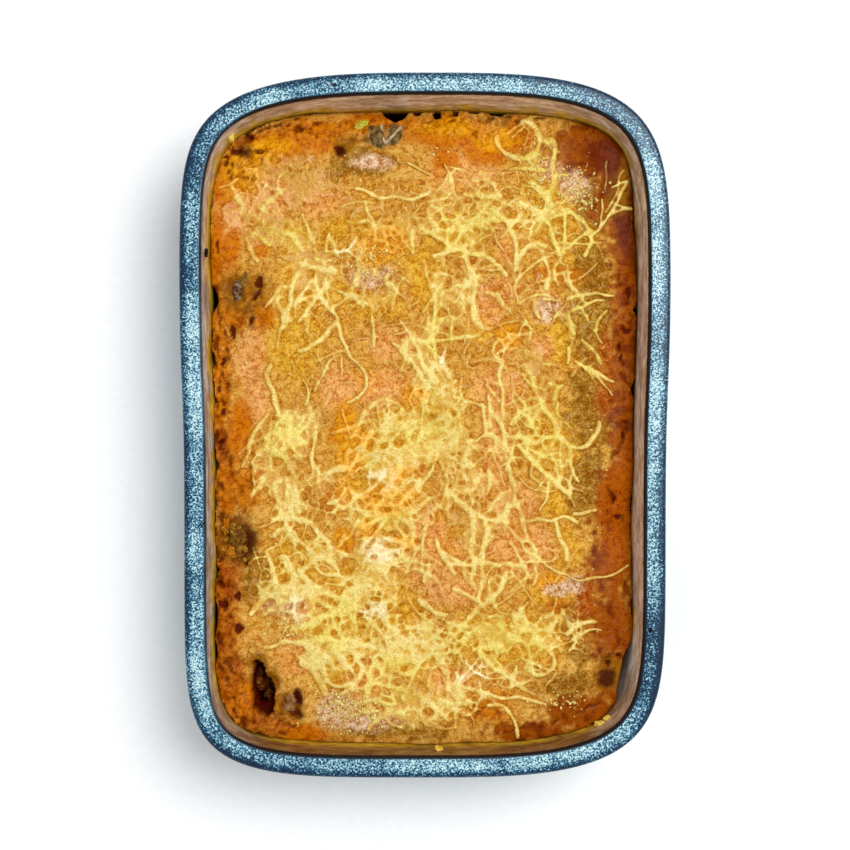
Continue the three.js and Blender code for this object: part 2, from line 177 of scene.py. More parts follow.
# %% Heights
RIM_WIDTH = 8.6
LIP_HEIGHT = 58
WALL_DRAFT = 0.16
FLOOR_HEIGHT = 7
CLEARANCE = 0.35
FILLING_TOP = 26
PIE_LEVEL = 48.3
PIE_TILT = (-0.5, -1.2)
PIE_HALF = (84, 126)
EDGE_DROP = {"left": 0.6, "right": 3.4, "far": 6.5, "near": 3}
EDGE_DROP_REACH = 7


def wall_inset(z):
    """Distance of the inner wall from the outline at one height."""
    return RIM_WIDTH + WALL_DRAFT * (LIP_HEIGHT - z)


def crust_waves():
    """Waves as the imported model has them: two beats, a phase and a height each."""
    draw = seeded_random(7)
    count, shortest, longest, steepness = 14, 18, 61, 0.0075
    waves = []
    for i in range(count):
        length = shortest * (longest / shortest) ** (i / (count - 1))
        heading = 2 * math.pi * draw()
        beat = 2 * math.pi / length
        phase = 2 * math.pi * draw()
        waves.append((beat * math.cos(heading), beat * math.sin(heading), phase, steepness * length))
    return waves


def pie_surface(x, y):
    """Height of the smooth crust."""
    lumps = sum(h * np.sin(bx * x + by * y + phase) for bx, by, phase, h in crust_waves())
    inner = half_width(y) - wall_inset(PIE_LEVEL)
    inner_end = DISH_LENGTH / 2 - wall_inset(PIE_LEVEL)
    room = {"left": inner + x, "right": inner - x, "far": inner_end - y, "near": inner_end + y}
    drops = sum(EDGE_DROP[k] * np.exp(-np.maximum(room[k], 0) / EDGE_DROP_REACH) for k in room)
    tilt = PIE_TILT[0] * x / PIE_HALF[0] + PIE_TILT[1] * y / PIE_HALF[1]
    return PIE_LEVEL + tilt + lumps - drops


# %% [markdown]
# ## Helpers for meshes
#
# Each piece starts as one of Blender's primitives. Its points are read into an array, moved, and
# written back. Selecting by an array and then calling the usual edit-mode operators does the
# rest, just as one would by hand.


# %% Mesh helpers
def deselect_all():
    for thing in bpy.context.selected_objects:
        thing.select_set(False)


def start_piece(name):
    """Names the primitive that was just added and makes it the only selected object."""
    piece = bpy.context.object
    piece.name = piece.data.name = name
    return piece


def activate(piece):
    deselect_all()
    piece.select_set(True)
    bpy.context.view_layer.objects.active = piece


def get_points(piece):
    co = np.empty(len(piece.data.vertices) * 3)
    piece.data.vertices.foreach_get("co", co)
    return co.reshape(-1, 3)


def set_points(piece, points):
    piece.data.vertices.foreach_set("co", np.ascontiguousarray(points, dtype=float).ravel())
    piece.data.update()


def select_points(piece, mask):
    """Selects exactly the masked points, and the edges that lie wholly among them."""
    mesh = piece.data
    mesh.vertices.foreach_set("select", mask)
    ends = np.empty(len(mesh.edges) * 2, int)
    mesh.edges.foreach_get("vertices", ends)
    mesh.edges.foreach_set("select", mask[ends.reshape(-1, 2)].all(axis=1))
    mesh.polygons.foreach_set("select", np.zeros(len(mesh.polygons), bool))


def border_mask(piece):
    """The points on edges that belong to one face only."""
    mesh = piece.data
    of_corner = np.empty(len(mesh.loops), int)
    mesh.loops.foreach_get("edge_index", of_corner)
    faces_of_edge = np.bincount(of_corner, minlength=len(mesh.edges))
    ends = np.empty(len(mesh.edges) * 2, int)
    mesh.edges.foreach_get("vertices", ends)
    mask = np.zeros(len(mesh.vertices), bool)
    mask[ends.reshape(-1, 2)[faces_of_edge == 1].ravel()] = True
    return mask


def edit(piece, *operations):
    """Runs edit-mode operators on what is selected."""
    activate(piece)
    bpy.ops.object.mode_set(mode="EDIT")
    bpy.ops.mesh.select_mode(type="VERT")
    for operation in operations:
        operation()
    bpy.ops.object.mode_set(mode="OBJECT")


def store(piece, name, values):
    """Keeps one number a point, for a material to read."""
    attribute = piece.data.attributes.new(name, "FLOAT", "POINT")
    attribute.data.foreach_set("value", np.ascontiguousarray(values, dtype=np.float32))


def store_colour(piece, name, colours):
    """Keeps one colour a point, in linear light."""
    attribute = piece.data.attributes.new(name, "FLOAT_COLOR", "POINT")
    attribute.data.foreach_set("color", np.ascontiguousarray(colours, dtype=np.float32).ravel())


def finish_piece(piece, smooth_angle=60):
    """From millimetres to metres, outward faces, smooth shading, and the frame's bookkeeping."""
    set_points(piece, get_points(piece) * MM)
    edit(
        piece,
        lambda: bpy.ops.mesh.select_all(action="SELECT"),
        lambda: bpy.ops.mesh.normals_make_consistent(inside=False),
    )
    bpy.ops.object.shade_smooth_by_angle(angle=math.radians(smooth_angle))
    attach(piece, "root")
    size = Vector(piece.dimensions) / MM
    print(f"{piece.name}: {len(piece.data.polygons)} faces, {size.x:.1f} x {size.y:.1f} mm")
    return piece


# %% Colours and soft ovals
def linear(colour):
    """A screen colour such as #c08040 as linear light."""
    parts = [int(colour[i : i + 2], 16) / 255 for i in (1, 3, 5)]
    return [p / 12.92 if p <= 0.04045 else ((p + 0.055) / 1.055) ** 2.4 for p in parts] + [1]


def ovals(x, y, spots):
    """How strongly each point lies in the nearest oval: place, half width, half length."""
    total = np.zeros_like(x)
    for across, along, wide, long in spots:
        far_out = ((x - across) / wide) ** 2 + ((y - along) / long) ** 2
        total = np.maximum(total, np.exp(-(far_out**1.5)))
    return total


# %% Extruding from ring to ring
def extrude_rings(name, rings):
    """Fills the first ring with a face and extrudes it through the others, as one closed body."""
    deselect_all()
    bpy.ops.mesh.primitive_circle_add(vertices=len(rings[0]), radius=1)
    piece = start_piece(name)
    set_points(piece, rings[0])
    bpy.ops.object.mode_set(mode="EDIT")
    shell = bmesh.from_edit_mesh(piece.data)
    station_of = shell.verts.layers.int.new("station")
    for number, vertex in enumerate(shell.verts):
        vertex[station_of] = number
    bpy.ops.mesh.select_all(action="SELECT")
    bpy.ops.mesh.edge_face_add()
    for ring in rings[1:]:
        bpy.ops.mesh.extrude_region_move()
        for vertex in shell.verts:
            if vertex.select:
                vertex.co = ring[vertex[station_of]]
    bmesh.update_edit_mesh(piece.data)
    bpy.ops.object.mode_set(mode="OBJECT")
    piece.data.attributes.remove(piece.data.attributes["station"])
    return piece


# %% [markdown]
# ## The dish
#
# The dish was pressed in clay and fired with two glazes. Its section runs from the foot ring up
# the leaning outside, over the broad flat rim and down inside to the floor. It would be a lathe
# shape if it were round. Here a ring that follows the outline is extruded along the section
# instead, from one ring to the next. The section's corners are cut again and again until they are
# round, as they are on fired clay.

# %% Dish section
DISH_STATIONS = 336
CORNER_WEIGHT = 42
SECTION = [
    (24, 1.2), (21, 1.2), (21, 0), (15, 0), (13.4, 1.4), (10.2, 5.2), (7.4, 12), (5, 24),
    (2.8, 42), (0.9, 55), (0, 57.3), (0, 58.9), (1.0, 60), (2.4, 60), (3.8, 60),
    (RIM_WIDTH - 4.6, 60),
    (RIM_WIDTH - 3.2, 60),
    (RIM_WIDTH - 1.9, 60),
    (RIM_WIDTH - 0.5, 59.8),
    (RIM_WIDTH, LIP_HEIGHT),
    (wall_inset(40), 40),
    (wall_inset(20), 20),
    (wall_inset(20) + 1.6, 14),
    (wall_inset(20) + 4.6, 9.4),
    (wall_inset(20) + 8.4, FLOOR_HEIGHT),
    (wall_inset(20) + 12, FLOOR_HEIGHT),
]


def cut_corners(points, times):
    """Rounds a line by replacing each point with two, a quarter of the way along its edges."""
    line = np.array(points, dtype=float)
    for _ in range(times):
        first = line[:-1] * 0.75 + line[1:] * 0.25
        second = line[:-1] * 0.25 + line[1:] * 0.75
        between = np.stack([first, second], axis=1).reshape(-1, line.shape[1])
        line = np.concatenate([line[:1], between, line[-1:]])
    return line


def spread_stations(count):
    """Numbers of outline points, closer together where the outline bends."""
    turn = np.arccos(np.clip((rim_normals * np.roll(rim_normals, -1, axis=0)).sum(1), -1, 1))
    travelled = np.concatenate([[0], np.cumsum(rim_steps + CORNER_WEIGHT * turn)])
    return np.searchsorted(travelled, travelled[-1] * np.arange(count) / count)


section = cut_corners(SECTION, 2)
print(f"the section has {len(section)} rings of {DISH_STATIONS} points")

# %% Dish
stations = spread_stations(DISH_STATIONS)


def wall_ring(inset, z):
    """A ring that follows the dish's outline, set in from it, at one height."""
    flat = rim_points[stations] - rim_normals[stations] * inset
    return np.column_stack([flat, np.full(len(flat), z)])


dish = extrude_rings("stoneware_dish", [wall_ring(inset, z) for inset, z in section])
print(f"{len(dish.data.vertices)} points on the dish")

# %% [markdown]
# ### What the dish's glazes need to know
#
# The blue glaze runs thin where clay has an edge, and there the dark body shows: a navy line round
# the outside of the rim and a black one inside. The beige inner wall carries a yellow line of fat
# just above the pie. Both depend on where a point lies, so they are stored with the points.

# %% Stored values on the dish
NAVY_LINE = 3.0
BLACK_LINE = 1.6
FAT_HEIGHT = {"left": 4.2, "right": 0.8, "far": 6.0, "near": 0.9}
# Each wall's colour: its glaze with its stains, and painted light, as the shaded right wall is
# painted lighter and the lit left wall darker.
WALL_TONES_WITH_PAINTED_LIGHT = {"left": "#c4bab0", "right": "#f0e0cc", "far": "#ecd8bc", "near": "#94703f"}
# Where the blue glaze has fired darker: place, half width, half length.
FIRED_DARK = [(-84, 84, 16, 26), (-70, -124, 18, 16), (76, 118, 14, 16), (86, -90, 8, 30)]
# Where the wall shows through the gap beside the pie. There it has no fat and no painted shade,
# and it is painted lighter, as painted light in the shaded gap.
CLEAN_LIT_GAP = [(78, -97, 10, 17)]


def near_side(x, y):
    """How much each point belongs to each of the four walls."""
    return {
        "left": smooth_step(-60, -78, x),
        "right": smooth_step(60, 78, x),
        "far": smooth_step(95, 112, y),
        "near": smooth_step(-95, -112, y),
    }


lengths = np.concatenate([[0], np.cumsum(np.linalg.norm(np.diff(section, axis=0), axis=1))])
on_top = section[:, 1] > LIP_HEIGHT + 0.5
outer_edge = lengths[np.argmax(section[:, 1] > 59.7)]
inner_edge = lengths[np.argmax(on_top & (section[:, 0] > RIM_WIDTH - 0.7))]
points = get_points(dish)
x, y, z = points.T
depth, _ = rim_depth(x, y)
gap = np.hypot(depth[:, None] - section[None, :, 0], z[:, None] - section[None, :, 1])
along = lengths[gap.argmin(axis=1)]
weights = near_side(x, y)
fat_height = sum(FAT_HEIGHT[k] * w for k, w in weights.items())
sides = np.maximum(sum(weights.values()), 0.01)
fat_height /= sides
wall_tone = sum(np.outer(w / sides, linear(WALL_TONES_WITH_PAINTED_LIGHT[k])) for k, w in weights.items())
ragged = 1 + 0.4 * noise(x + y, z, 5, 61) + 0.3 * noise(x + y, z, 1.6, 62)
above_pie = (z - pie_surface(x, y)) / np.maximum(fat_height * ragged, 0.3)
navy = smooth_step(-9, -1, along - outer_edge) * smooth_step(NAVY_LINE, 0, along - outer_edge)
black = smooth_step(-BLACK_LINE, -0.2, along - inner_edge) * smooth_step(2.4, 1.2, along - inner_edge)
store(dish, "navy", navy)
store(dish, "black", black * (1 - 0.4 * weights["left"]))
store(dish, "inside", smooth_step(inner_edge + 0.5, inner_edge + 1.2, along))
store(dish, "bare", smooth_step(3.2, 2.2, z) * (along < outer_edge))
clean_lit_gap = ovals(x, y, CLEAN_LIT_GAP)
store(dish, "fat", smooth_step(1.1, 0.6, above_pie) * (along > inner_edge) * (1 - clean_lit_gap))
# Painted shade: the wall below the crust's level is painted near-black, for the dark gap beside the
# pie.
below = smooth_step(-0.8, -2.2, z - pie_surface(x, y)) * (along > inner_edge)
store(dish, "below", below * (1 - clean_lit_gap))
store(dish, "fired", ovals(x, y, FIRED_DARK))
# Painted light: the wall in the gap is painted lighter than its glaze.
wall_tone += np.outer(clean_lit_gap, np.array(linear("#f0e4d0"))) * (z < pie_surface(x, y) + 1)[:, None]
store_colour(dish, "wall", np.clip(wall_tone, 0, 1))
finish_piece(dish, 50)
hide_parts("dish")

# %% [markdown]
# ## What the crust looks like where
#
# Sweet potato mash changes as it bakes. It dries to a sandy ochre crust, stays wet and bright
# orange at the edge, and turns to a smooth brown skin where the oven is hottest. Butterfat from
# the cheese stains it golden, flour and dried starch lie on it as pale dust, and gravy darkens it
# where the filling has come through. Each of these is a mask from 0 to 1, drawn as soft ovals
# whose edges are pushed about by noise, and each has its own colour. Blended, they are the tone
# of the crust, and thin cheese takes its colour from the same tone.


# %% Zones of the mash
# Later zones lie over earlier ones.
ZONES = {
    "golden": [
        (-50, 74, 9, 7), (-28, 74, 13, 8), (-10, 70, 8, 9), (-32, 53, 7, 5), (-20, 46, 12, 4),
        (-50, 36, 12, 20), (-52, 58, 8, 6), (-14, -8, 22, 14), (-16, -36, 12, 6), (-26, -24, 8, 7),
        (4, 2, 12, 16), (48, 84, 14, 12), (58, 70, 7, 12), (52, 35, 10, 12), (50, -5, 12, 14),
        (52, -26, 9, 12), (54, -48, 6, 10), (51, -67, 12, 6), (-50, -50, 14, 10),
        (-30, -62, 16, 8), (-36, -84, 18, 14), (-36, -97, 9, 6), (-10, -72, 14, 12),
        (30, -84, 24, 12), (0, -90, 14, 12), (8, -108, 8, 6), (0, 60, 8, 12), (10, 74, 12, 8),
        (22, 38, 6, 8),
    ],
    "dull": [
        (67, 84, 7, 14), (69, 48, 6, 10), (62, 66, 7, 10), (60, 44, 6, 9), (69, 2, 7, 13),
        (64, 60, 9, 13), (65, 35, 9, 15), (64, 8, 9, 18), (61, -20, 8, 17), (60, -82, 8, 12),
        (56, -101, 14, 8), (-25, 102, 16, 6), (-66, -58, 6, 12), (-10, -118, 24, 4),
    ],
    "salmon": [
        (4, -52, 12, 10), (12, -64, 11, 8), (0, -40, 8, 8), (38, -48, 15, 11), (36, -32, 9, 8),
        (26, -10, 6, 22), (28, 14, 11, 9), (-18, 14, 14, 8), (-34, 16, 8, 10), (-14, 32, 10, 8),
        (28, 52, 9, 7), (24, 44, 6, 8), (32, 70, 5, 7), (48, 46, 7, 5), (46, 32, 5, 6),
        (-69, 26, 7, 14), (-66, 8, 6, 10), (-62, 89, 12, 8), (-38, 88, 9, 6), (-77, 78, 7, 13),
        (-80, 64, 4, 8), (15, 98, 16, 7), (-50, -72, 10, 5), (-48, -88, 10, 8), (-22, -99, 8, 8),
        (12, -98, 10, 6),
    ],
    "orange": [
        (-62, 108, 18, 9), (-44, 114, 16, 9), (-76, 94, 9, 14), (-20, 119, 20, 5), (-58, 93, 5, 4),
        (8, 114, 20, 9), (24, 108, 10, 8), (-82, 60, 5, 30), (8, 102, 6, 5), (36, 112, 8, 8),
        (-31, 4, 5, 5), (-35, -2, 4, 6), (-35, -29, 6, 4), (-31, -46, 5, 6), (33, 35, 7, 5),
        (29, 27, 4, 4), (27, 50, 3, 4), (52, 57, 8, 4), (-4, -18, 4, 3), (4, -34, 3, 3),
        (52, -72, 5, 4), (25, -110, 9, 8), (-79, -84, 9, 34), (-72, -110, 14, 14),
        (-52, -121, 16, 6), (-76, 68, 5, 8), (-66, 69, 5, 4), (-76, 44, 6, 8), (-64, 44, 5, 8),
        (-82, 10, 6, 46), (-72, -4, 6, 14), (-68, -26, 6, 9), (-76, -24, 6, 14),
    ],
    "amber": [
        (-24, -3, 6, 6), (-29, -14, 5, 7), (-10, -19, 5, 4), (-21, -40, 5, 5), (-8, -46, 4, 4),
        (-16, 70, 10, 7), (-31, 1, 6, 9), (-14, -28, 10, 6), (-31, -25, 5, 5), (-32, -44, 4, 6),
        (32, 34, 5, 5), (48, -60, 5, 4), (-6, 10, 5, 4), (-72, 98, 9, 10), (-60, 108, 8, 5),
        (8, 116, 12, 5), (28, 112, 8, 5),
    ],
    "skin": [
        (64, 108, 18, 16), (75, 88, 9, 20), (79, 60, 8, 24), (80, 30, 9, 30), (79, 0, 9, 30),
        (77, -30, 10, 24), (73, -52, 11, 20), (74, -78, 10, 18), (75, -98, 10, 14),
        (62, -113, 18, 9), (40, -120, 20, 5),
    ],
    "scorched": [
        (80, 82, 5, 22), (72, 106, 10, 9), (76, 95, 6, 10),
    ],
    "rust": [
        (-79, -50, 8, 16), (-78, -80, 8, 26), (-80, -8, 5, 8), (74, -36, 7, 26), (63, -70, 5, 14),
        (-62, -116, 10, 5), (70, 20, 4, 20),
    ],
    "floury": [
        (-21, 58, 9.5, 5.5), (58, 92, 7, 7), (49, 99, 5, 6), (-34, -111, 9, 7), (-20, -115, 12, 4),
        (54, -64, 8, 3.5), (-56, -72, 8, 4), (48, 45, 7, 4), (-21, 102, 9, 3),
    ],
    "stain": [
        (-18, 112.5, 9, 5.5), (-32, 110, 6, 5), (-70, 108, 5, 3), (-34, 107, 3, 3),
        (-72, 52, 10, 9), (-75, -46, 8, 9), (-66, -92, 4, 4), (-58, -100, 3, 8), (-53, -110, 6, 6),
        (72, -97, 7, 7), (79, 98, 3, 12),
    ],
    "gravy": [
        (-72.4, -44, 6.6, 9.6), (-49.4, -105, 1.8, 3), (-50, -112, 2.2, 2), (-70, 108, 3, 2),
        (-34, 107, 3, 2.2), (70, -98, 4, 4),
    ],
    "smoky": [
        (-18, 112, 7, 5), (-11, 114, 5, 4),
    ],
}
TONES = {
    "dry": "#ca963c",
    "golden": "#d2a028",
    "dull": "#966814",
    "salmon": "#de9f5a",
    "orange": "#c37005",
    "amber": "#de9a0a",
    "skin": "#964c06",
    "scorched": "#6c2802",
    "rust": "#a45406",
    "floury": "#c69a70",
    "stain": "#94600f",
    "gravy": "#4c2408",
    "smoky": "#86683e",
}
# Where the wet mash has boiled up in small bubbles.
BUBBLY = [
    (-80, 0, 5, 70), (-30, 116, 50, 6), (20, 117, 26, 6), (-68, 103, 14, 9), (-75, -85, 7, 30),
    (-66, -116, 18, 8), (-70, 44, 8, 12), (-70, -24, 7, 16), (25, -112, 10, 7), (52, -72, 7, 5),
]


def ragged_place(x, y):
    """The place with noise added, which gives the ovals ragged edges."""
    return tuple(value + 4.2 * rough(x, y, 12, 4, seed) for value, seed in ((x, 11), (y, 15)))


def zones(x, y):
    """The zone masks. The dull crust and the brown skin also have speckled edges."""
    place = ragged_place(x, y)
    zone = {name: smooth_step(0.08, 0.86, ovals(*place, spots)) for name, spots in ZONES.items()}
    for name in ("dull", "skin"):
        speckled = ovals(*place, ZONES[name]) + 0.3 * noise(x, y, 2, 17)
        zone[name] = smooth_step(0.2, 0.8, speckled)
    burnt = 0.7 * zone["skin"] * smooth_step(0.15, 0.55, noise(x, y, 3, 18))
    zone["scorched"] = np.maximum(zone["scorched"], burnt)
    return zone


def crust_tone(zone):
    """The colour at each point, in linear light: each zone's colour laid over those before it."""
    tone = np.array(linear(TONES["dry"]))
    for name, mask in zone.items():
        tone = tone * (1 - mask[:, None]) + np.array(linear(TONES[name])) * mask[:, None]
    return tone


def sandiness(zone):
    """How dry the crust is."""
    return (1 - zone["orange"]) * (1 - zone["skin"]) * (1 - zone["stain"]) * (1 - zone["gravy"])


# %% [markdown]
# ## Cracks, holes and hollows
#
# The brown skin has torn in short wandering cracks. The wet edge is full of little holes where
# gravy has bubbled. Larger pieces of filling lie in hollows. All of these lower the surface, and
# each is also a mask of painted shade, which paints the recess a dark red-brown as its shade.

# %% Cracks and hollows
# Each crack is an arc: where it starts, its heading there, its length and how far it turns.
CRACKS = [
    (75.5, 35, -80, 13, -35), (78.6, 11, -160, 6, 0), (79, 2.5, -95, 17, -35),
    (71.6, -25, -75, 14, 25), (71, -33, -60, 8, -50), (78, -60, -85, 12, 40),
    (71.6, -73, -45, 20, -95), (76, 62, -100, 8, 20), (80, 48, -85, 12, 0), (77, 20, -70, 7, 30),
    (30, -120, 10, 10, 20), (60, -112, 25, 9, 0), (44, -118, 5, 8, 30), (-80, 41, -60, 6, -100),
    (-79, -113, -50, 10, 20), (-73, -118, -30, 12, 10),
]
# Each hollow is an oval: its place, half width, half length and depth.
HOLLOWS = [
    (-71, 110.5, 3.4, 2, 2.6), (-73.6, 107.6, 1.5, 1.1, 2), (-77, 104.4, 1.5, 1.0, 2),
    (-68.6, 112.6, 1.2, 1.4, 2), (-34, 108, 1.6, 1.3, 2), (-64, 107, 2, 1.4, 1.6),
    (-49, 114, 2.4, 1.2, 2), (-74, 36, 1.2, 2.6, 1.8), (-72.8, 52.2, 4.4, 6, 1.6),
    (-65, 54.8, 1.8, 3, 1.6), (-65.3, 50, 1.6, 1.8, 1.4), (-67.7, 41, 1.5, 2.4, 1.6),
    (-73.6, -45, 7, 10.8, 2.0), (72, -93, 1.8, 2.2, 2.4), (75.5, -90, 1.2, 1.6, 2),
    (68, -96, 1, 1, 1.6), (-53, -108, 4, 5.4, 1.2), (-50, -105, 1.5, 2.4, 1.8),
    (-50.4, -112, 2, 1.3, 1.6), (-73, -66, 1.5, 2.5, 1.6), (-79.5, -62, 2, 1.5, 2),
    (-80, -57, 1.5, 1.1, 1.6), (-78.5, -70, 1.8, 2.6, 2), (-69.6, -54.4, 1.4, 2, 1.8),
    (-79.5, -6, 1.2, 2.4, 1.6), (-79, 6, 1.1, 2, 1.6), (-78.5, 24, 1.2, 1.8, 1.6),
    (-72, -79, 1.6, 2, 1.6), (79, 51.3, 1.0, 2.4, 1.2), (78.6, 36.5, 1.2, 1.6, 1.2),
    (77, 26, 0.9, 3.4, 1.2), (76, 30, 1.1, 1.0, 1.0), (78.2, 2, 1.0, 1.4, 1.2),
    (77.4, -4, 0.9, 2.4, 1.2), (73, -28.5, 1.0, 3.2, 1.2), (75, -35, 1.0, 1.6, 1.2),
]
CRACK_DEPTH = 0.8
PIT_PLACE = (-63.6, -102)
PIT_HALF = (5.6, 10.2)
PIT_TURN = math.radians(-10.8)
PIT_DEPTH = 9
PIT_SLOPE = 2.4  # how far the mash sinks beside the pit
PIT_LIP = 1.2  # border points within this many pit sizes are the edge of the pit
PIT_OPENING = 0.66  # the crust ends here, on the pit's own slope


def arc_points(x, y, heading, length, turn, step=0.5):
    """Points along an arc."""
    count = max(3, round(length / step))
    headings = np.radians(heading + turn * (np.arange(count) + 0.5) / count)
    along_x = x + np.concatenate([[0], np.cumsum(np.cos(headings))]) * length / count
    along_y = y + np.concatenate([[0], np.cumsum(np.sin(headings))]) * length / count
    return np.column_stack([along_x, along_y])


def crack_mask(x, y):
    """How deep each point lies in a crack."""
    half_width, margin, sway = 0.6, 2, 1.1
    mask = np.zeros_like(x)
    for number, crack in enumerate(CRACKS):
        line = arc_points(*crack)
        low, high = line.min(0) - margin, line.max(0) + margin
        near = (x > low[0]) & (x < high[0]) & (y > low[1]) & (y < high[1])
        if not near.any():
            continue
        pushed_x = x[near] + sway * noise(x[near], y[near], 2.2, 70 + number)
        pushed_y = y[near] + sway * noise(x[near], y[near], 2.2, 90 + number)
        gap = np.min([np.hypot(pushed_x - a, pushed_y - b) for a, b in line], axis=0)
        mask[near] = np.maximum(mask[near], np.exp(-((gap / half_width) ** 2)))
    return mask * smooth_step(-0.5, 0.1, noise(x, y, 2.4, 68))


def pit_place(x, y):
    """Place in the pit's own frame, with its long axis upright."""
    across, along = x - PIT_PLACE[0], y - PIT_PLACE[1]
    c, s = math.cos(PIT_TURN), math.sin(PIT_TURN)
    return across * c - along * s, across * s + along * c


def pit_ratio(x, y):
    """1 on the edge of the pit over the filling and less inside it. Its far end is narrow."""
    u, v = pit_place(x, y)
    width = PIT_HALF[0] * (1 - 0.47 * smooth_step(-4, 7, v))
    edge = 1 + 0.16 * noise(x, y, 3.4, 41) + 0.10 * noise(x, y, 1.4, 42)
    return np.hypot(u / width, v / PIT_HALF[1]) / edge


def cells(x, y, size, seed):
    """Around scattered dots: the gap to the nearest, how much further the next is, and a draw."""
    table = np.random.default_rng(seed).random((3, 256, 256))
    i, j = np.floor(x / size).astype(int), np.floor(y / size).astype(int)
    near, next_one, luck = np.full_like(x, 9.0), np.full_like(x, 9.0), np.zeros_like(x)
    for a in (-1, 0, 1):
        for b in (-1, 0, 1):
            u, v = (i + a) % 256, (j + b) % 256
            gap = np.hypot(i + a + table[0, u, v] - x / size, j + b + table[1, u, v] - y / size)
            closer = gap < near
            next_one = np.where(closer, near, np.minimum(next_one, gap))
            luck = np.where(closer, table[2, u, v], luck)
            near = np.where(closer, gap, near)
    return near, next_one - near, luck


# %% [markdown]
# ## The mash's height
#
# The fine surface adds to the smooth one: lumps where a spoon left them, a sandy crumb, little
# bubble holes in the wet parts, and everything that is broken. Cheese lies over the coarse shape
# only, so the finest crumb can be left out.


# %% Height of the mash
def mash_surface(x, y, crumb=True):
    """Height in millimetres, holes and creases as a mask of painted shade, a painted glint, and the
    zones.
    """
    zone = zones(x, y)
    skin = zone["skin"]
    bubbly = smooth_step(0.1, 0.8, ovals(*ragged_place(x, y), BUBBLY)) * (1 - skin)
    height = pie_surface(x, y) + 0.5 * rough(x, y, 11, 2, 21) * (1 - 0.5 * skin)
    pushed_x = x + 0.8 * noise(x, y, 2.6, 35)
    pushed_y = y + 0.8 * noise(x, y, 2.6, 36)
    relief = 0.5 * rough(x, y, 2.4, 2, 23) + 0.3 * noise(x, y, 1.1, 24)
    # Painted shade: the creases between the wet lumps and their low parts are painted dark through
    # the hole mask.
    painted_crease_shade = np.zeros_like(x)
    for size, seed in ((4.8, 33), (2.2, 34)):
        near, from_edge, _ = cells(pushed_x, pushed_y, size, seed)
        relief += 0.32 * size * (0.4 - near**2)
        painted_crease_shade = np.maximum(painted_crease_shade, bubbly * np.exp(-((from_edge / 0.09) ** 2)))
    height += relief * bubbly
    painted_crease_shade = np.maximum(0.5 * painted_crease_shade, 0.5 * bubbly * smooth_step(0.1, -0.9, relief))
    # The hole mask paints holes, slots, cracks, hollows and the pit's slope dark red-brown, as
    # painted shade.
    hole = np.zeros_like(x)
    depth, nearest = rim_depth(x, y)
    from_wall = depth - wall_inset(PIE_LEVEL)
    along_wall = 0.45 * rim_lengths[nearest]
    for size, seed, reach, share in ((2.6, 31, 3.4, 0.5), (1.9, 32, 7, 0.2)):
        slipped = from_wall + 0.9 * (pushed_x - x)
        gap, _, luck = cells(slipped, along_wall + 0.7 * (pushed_y - y), size, seed)
        slot = smooth_step(0.5, 0.3, gap) * (luck < share * bubbly) * (from_wall < reach)
        height -= 0.4 * size * slot
        hole = np.maximum(hole, 0.8 * slot)
    cracks = crack_mask(x, y)
    height -= CRACK_DEPTH * cracks
    hole = np.maximum(hole, 0.8 * cracks)
    for across, along, wide, long, deep in HOLLOWS:
        off_x, off_y = 1.8 * pushed_x - 0.8 * x - across, 1.8 * pushed_y - 0.8 * y - along
        far_out = (off_x / wide) ** 2 + (off_y / long) ** 2
        height -= deep * np.exp(-(far_out**1.5))
        hole = np.maximum(hole, min(0.95, 1.7 / wide) * smooth_step(0.95, 0.7, far_out))
    ratio = pit_ratio(x, y)
    slope_side = smooth_step(-6, 2, pit_place(x, y)[1])
    height -= PIT_SLOPE * smooth_step(1.7, 1.05, ratio) * slope_side
    height -= PIT_DEPTH * smooth_step(1.02, 0.88, ratio)
    hole = np.maximum(hole, smooth_step(1.0, 0.95, ratio))
    if crumb:
        dry = (1 - bubbly) * (1 - skin)
        height += (0.12 + 0.26 * dry) * rough(x, y, 2.4, 2, 23)
        height += (0.06 + 0.14 * dry) * noise(x, y, 1.1, 24)
    # Painted highlight: the tops of the wet lumps are painted a paler orange, as a glint.
    glint = smooth_step(0.25, 0.8, relief) * bubbly
    return height, np.maximum(hole, painted_crease_shade), glint, zone


# %% [markdown]
# ## The gap along the wall
#
# Mash shrinks as it bakes and lets go of the wall in places, leaving dark slots with bridges of
# mash in between. How far it has drawn back is a sum of named gaps and a little noise.

# %% Gaps along the wall
# Each gap: a place on the wall, half its length and how far the mash has drawn back there.
WALL_GAPS = [
    (-83, 48.8, 4.6, 2.8), (-83, 35, 2.2, 0.8), (-83, 26, 3, 0.9), (-82, 13, 5, 0.7),
    (-82, -14, 6, 0.8), (-82.5, -28.6, 2.2, 3.2), (-82.5, -34.8, 2.4, 3.2), (-82, -57, 3, 0.9),
    (-82, -75, 6, 1.2), (-82, -88, 4, 1.3), (-11.6, 121, 4.4, 5.6), (-3, 121, 2.2, 2),
    (4.9, 120, 2.5, 4.0), (11.9, 120.4, 2.2, 3.3), (19, 121, 3, 1.5), (28, 121, 3, 1.6),
    (83, 45, 2.2, 2.6), (83, 35, 1.4, 2.0), (83, 14, 3, 2.2), (82, -31.4, 2.8, 2.6),
    (82, -39.6, 1.6, 2.0), (80, 78, 4, 0.9), (81, -72, 3, 0.9), (76, -96, 11, 3.2),
]


def drawn_back(x, y):
    """How far the mash has drawn back from the wall near each point."""
    gap = 0.04 + 0.15 * np.maximum(0, noise(x, y, 6, 51)) + 0.1 * noise(x, y, 1.5, 52)
    for across, along, half, deep in WALL_GAPS:
        gap = gap + deep * np.exp(-((np.hypot(x - across, y - along) / half) ** 4))
    return np.maximum(gap, 0.03)
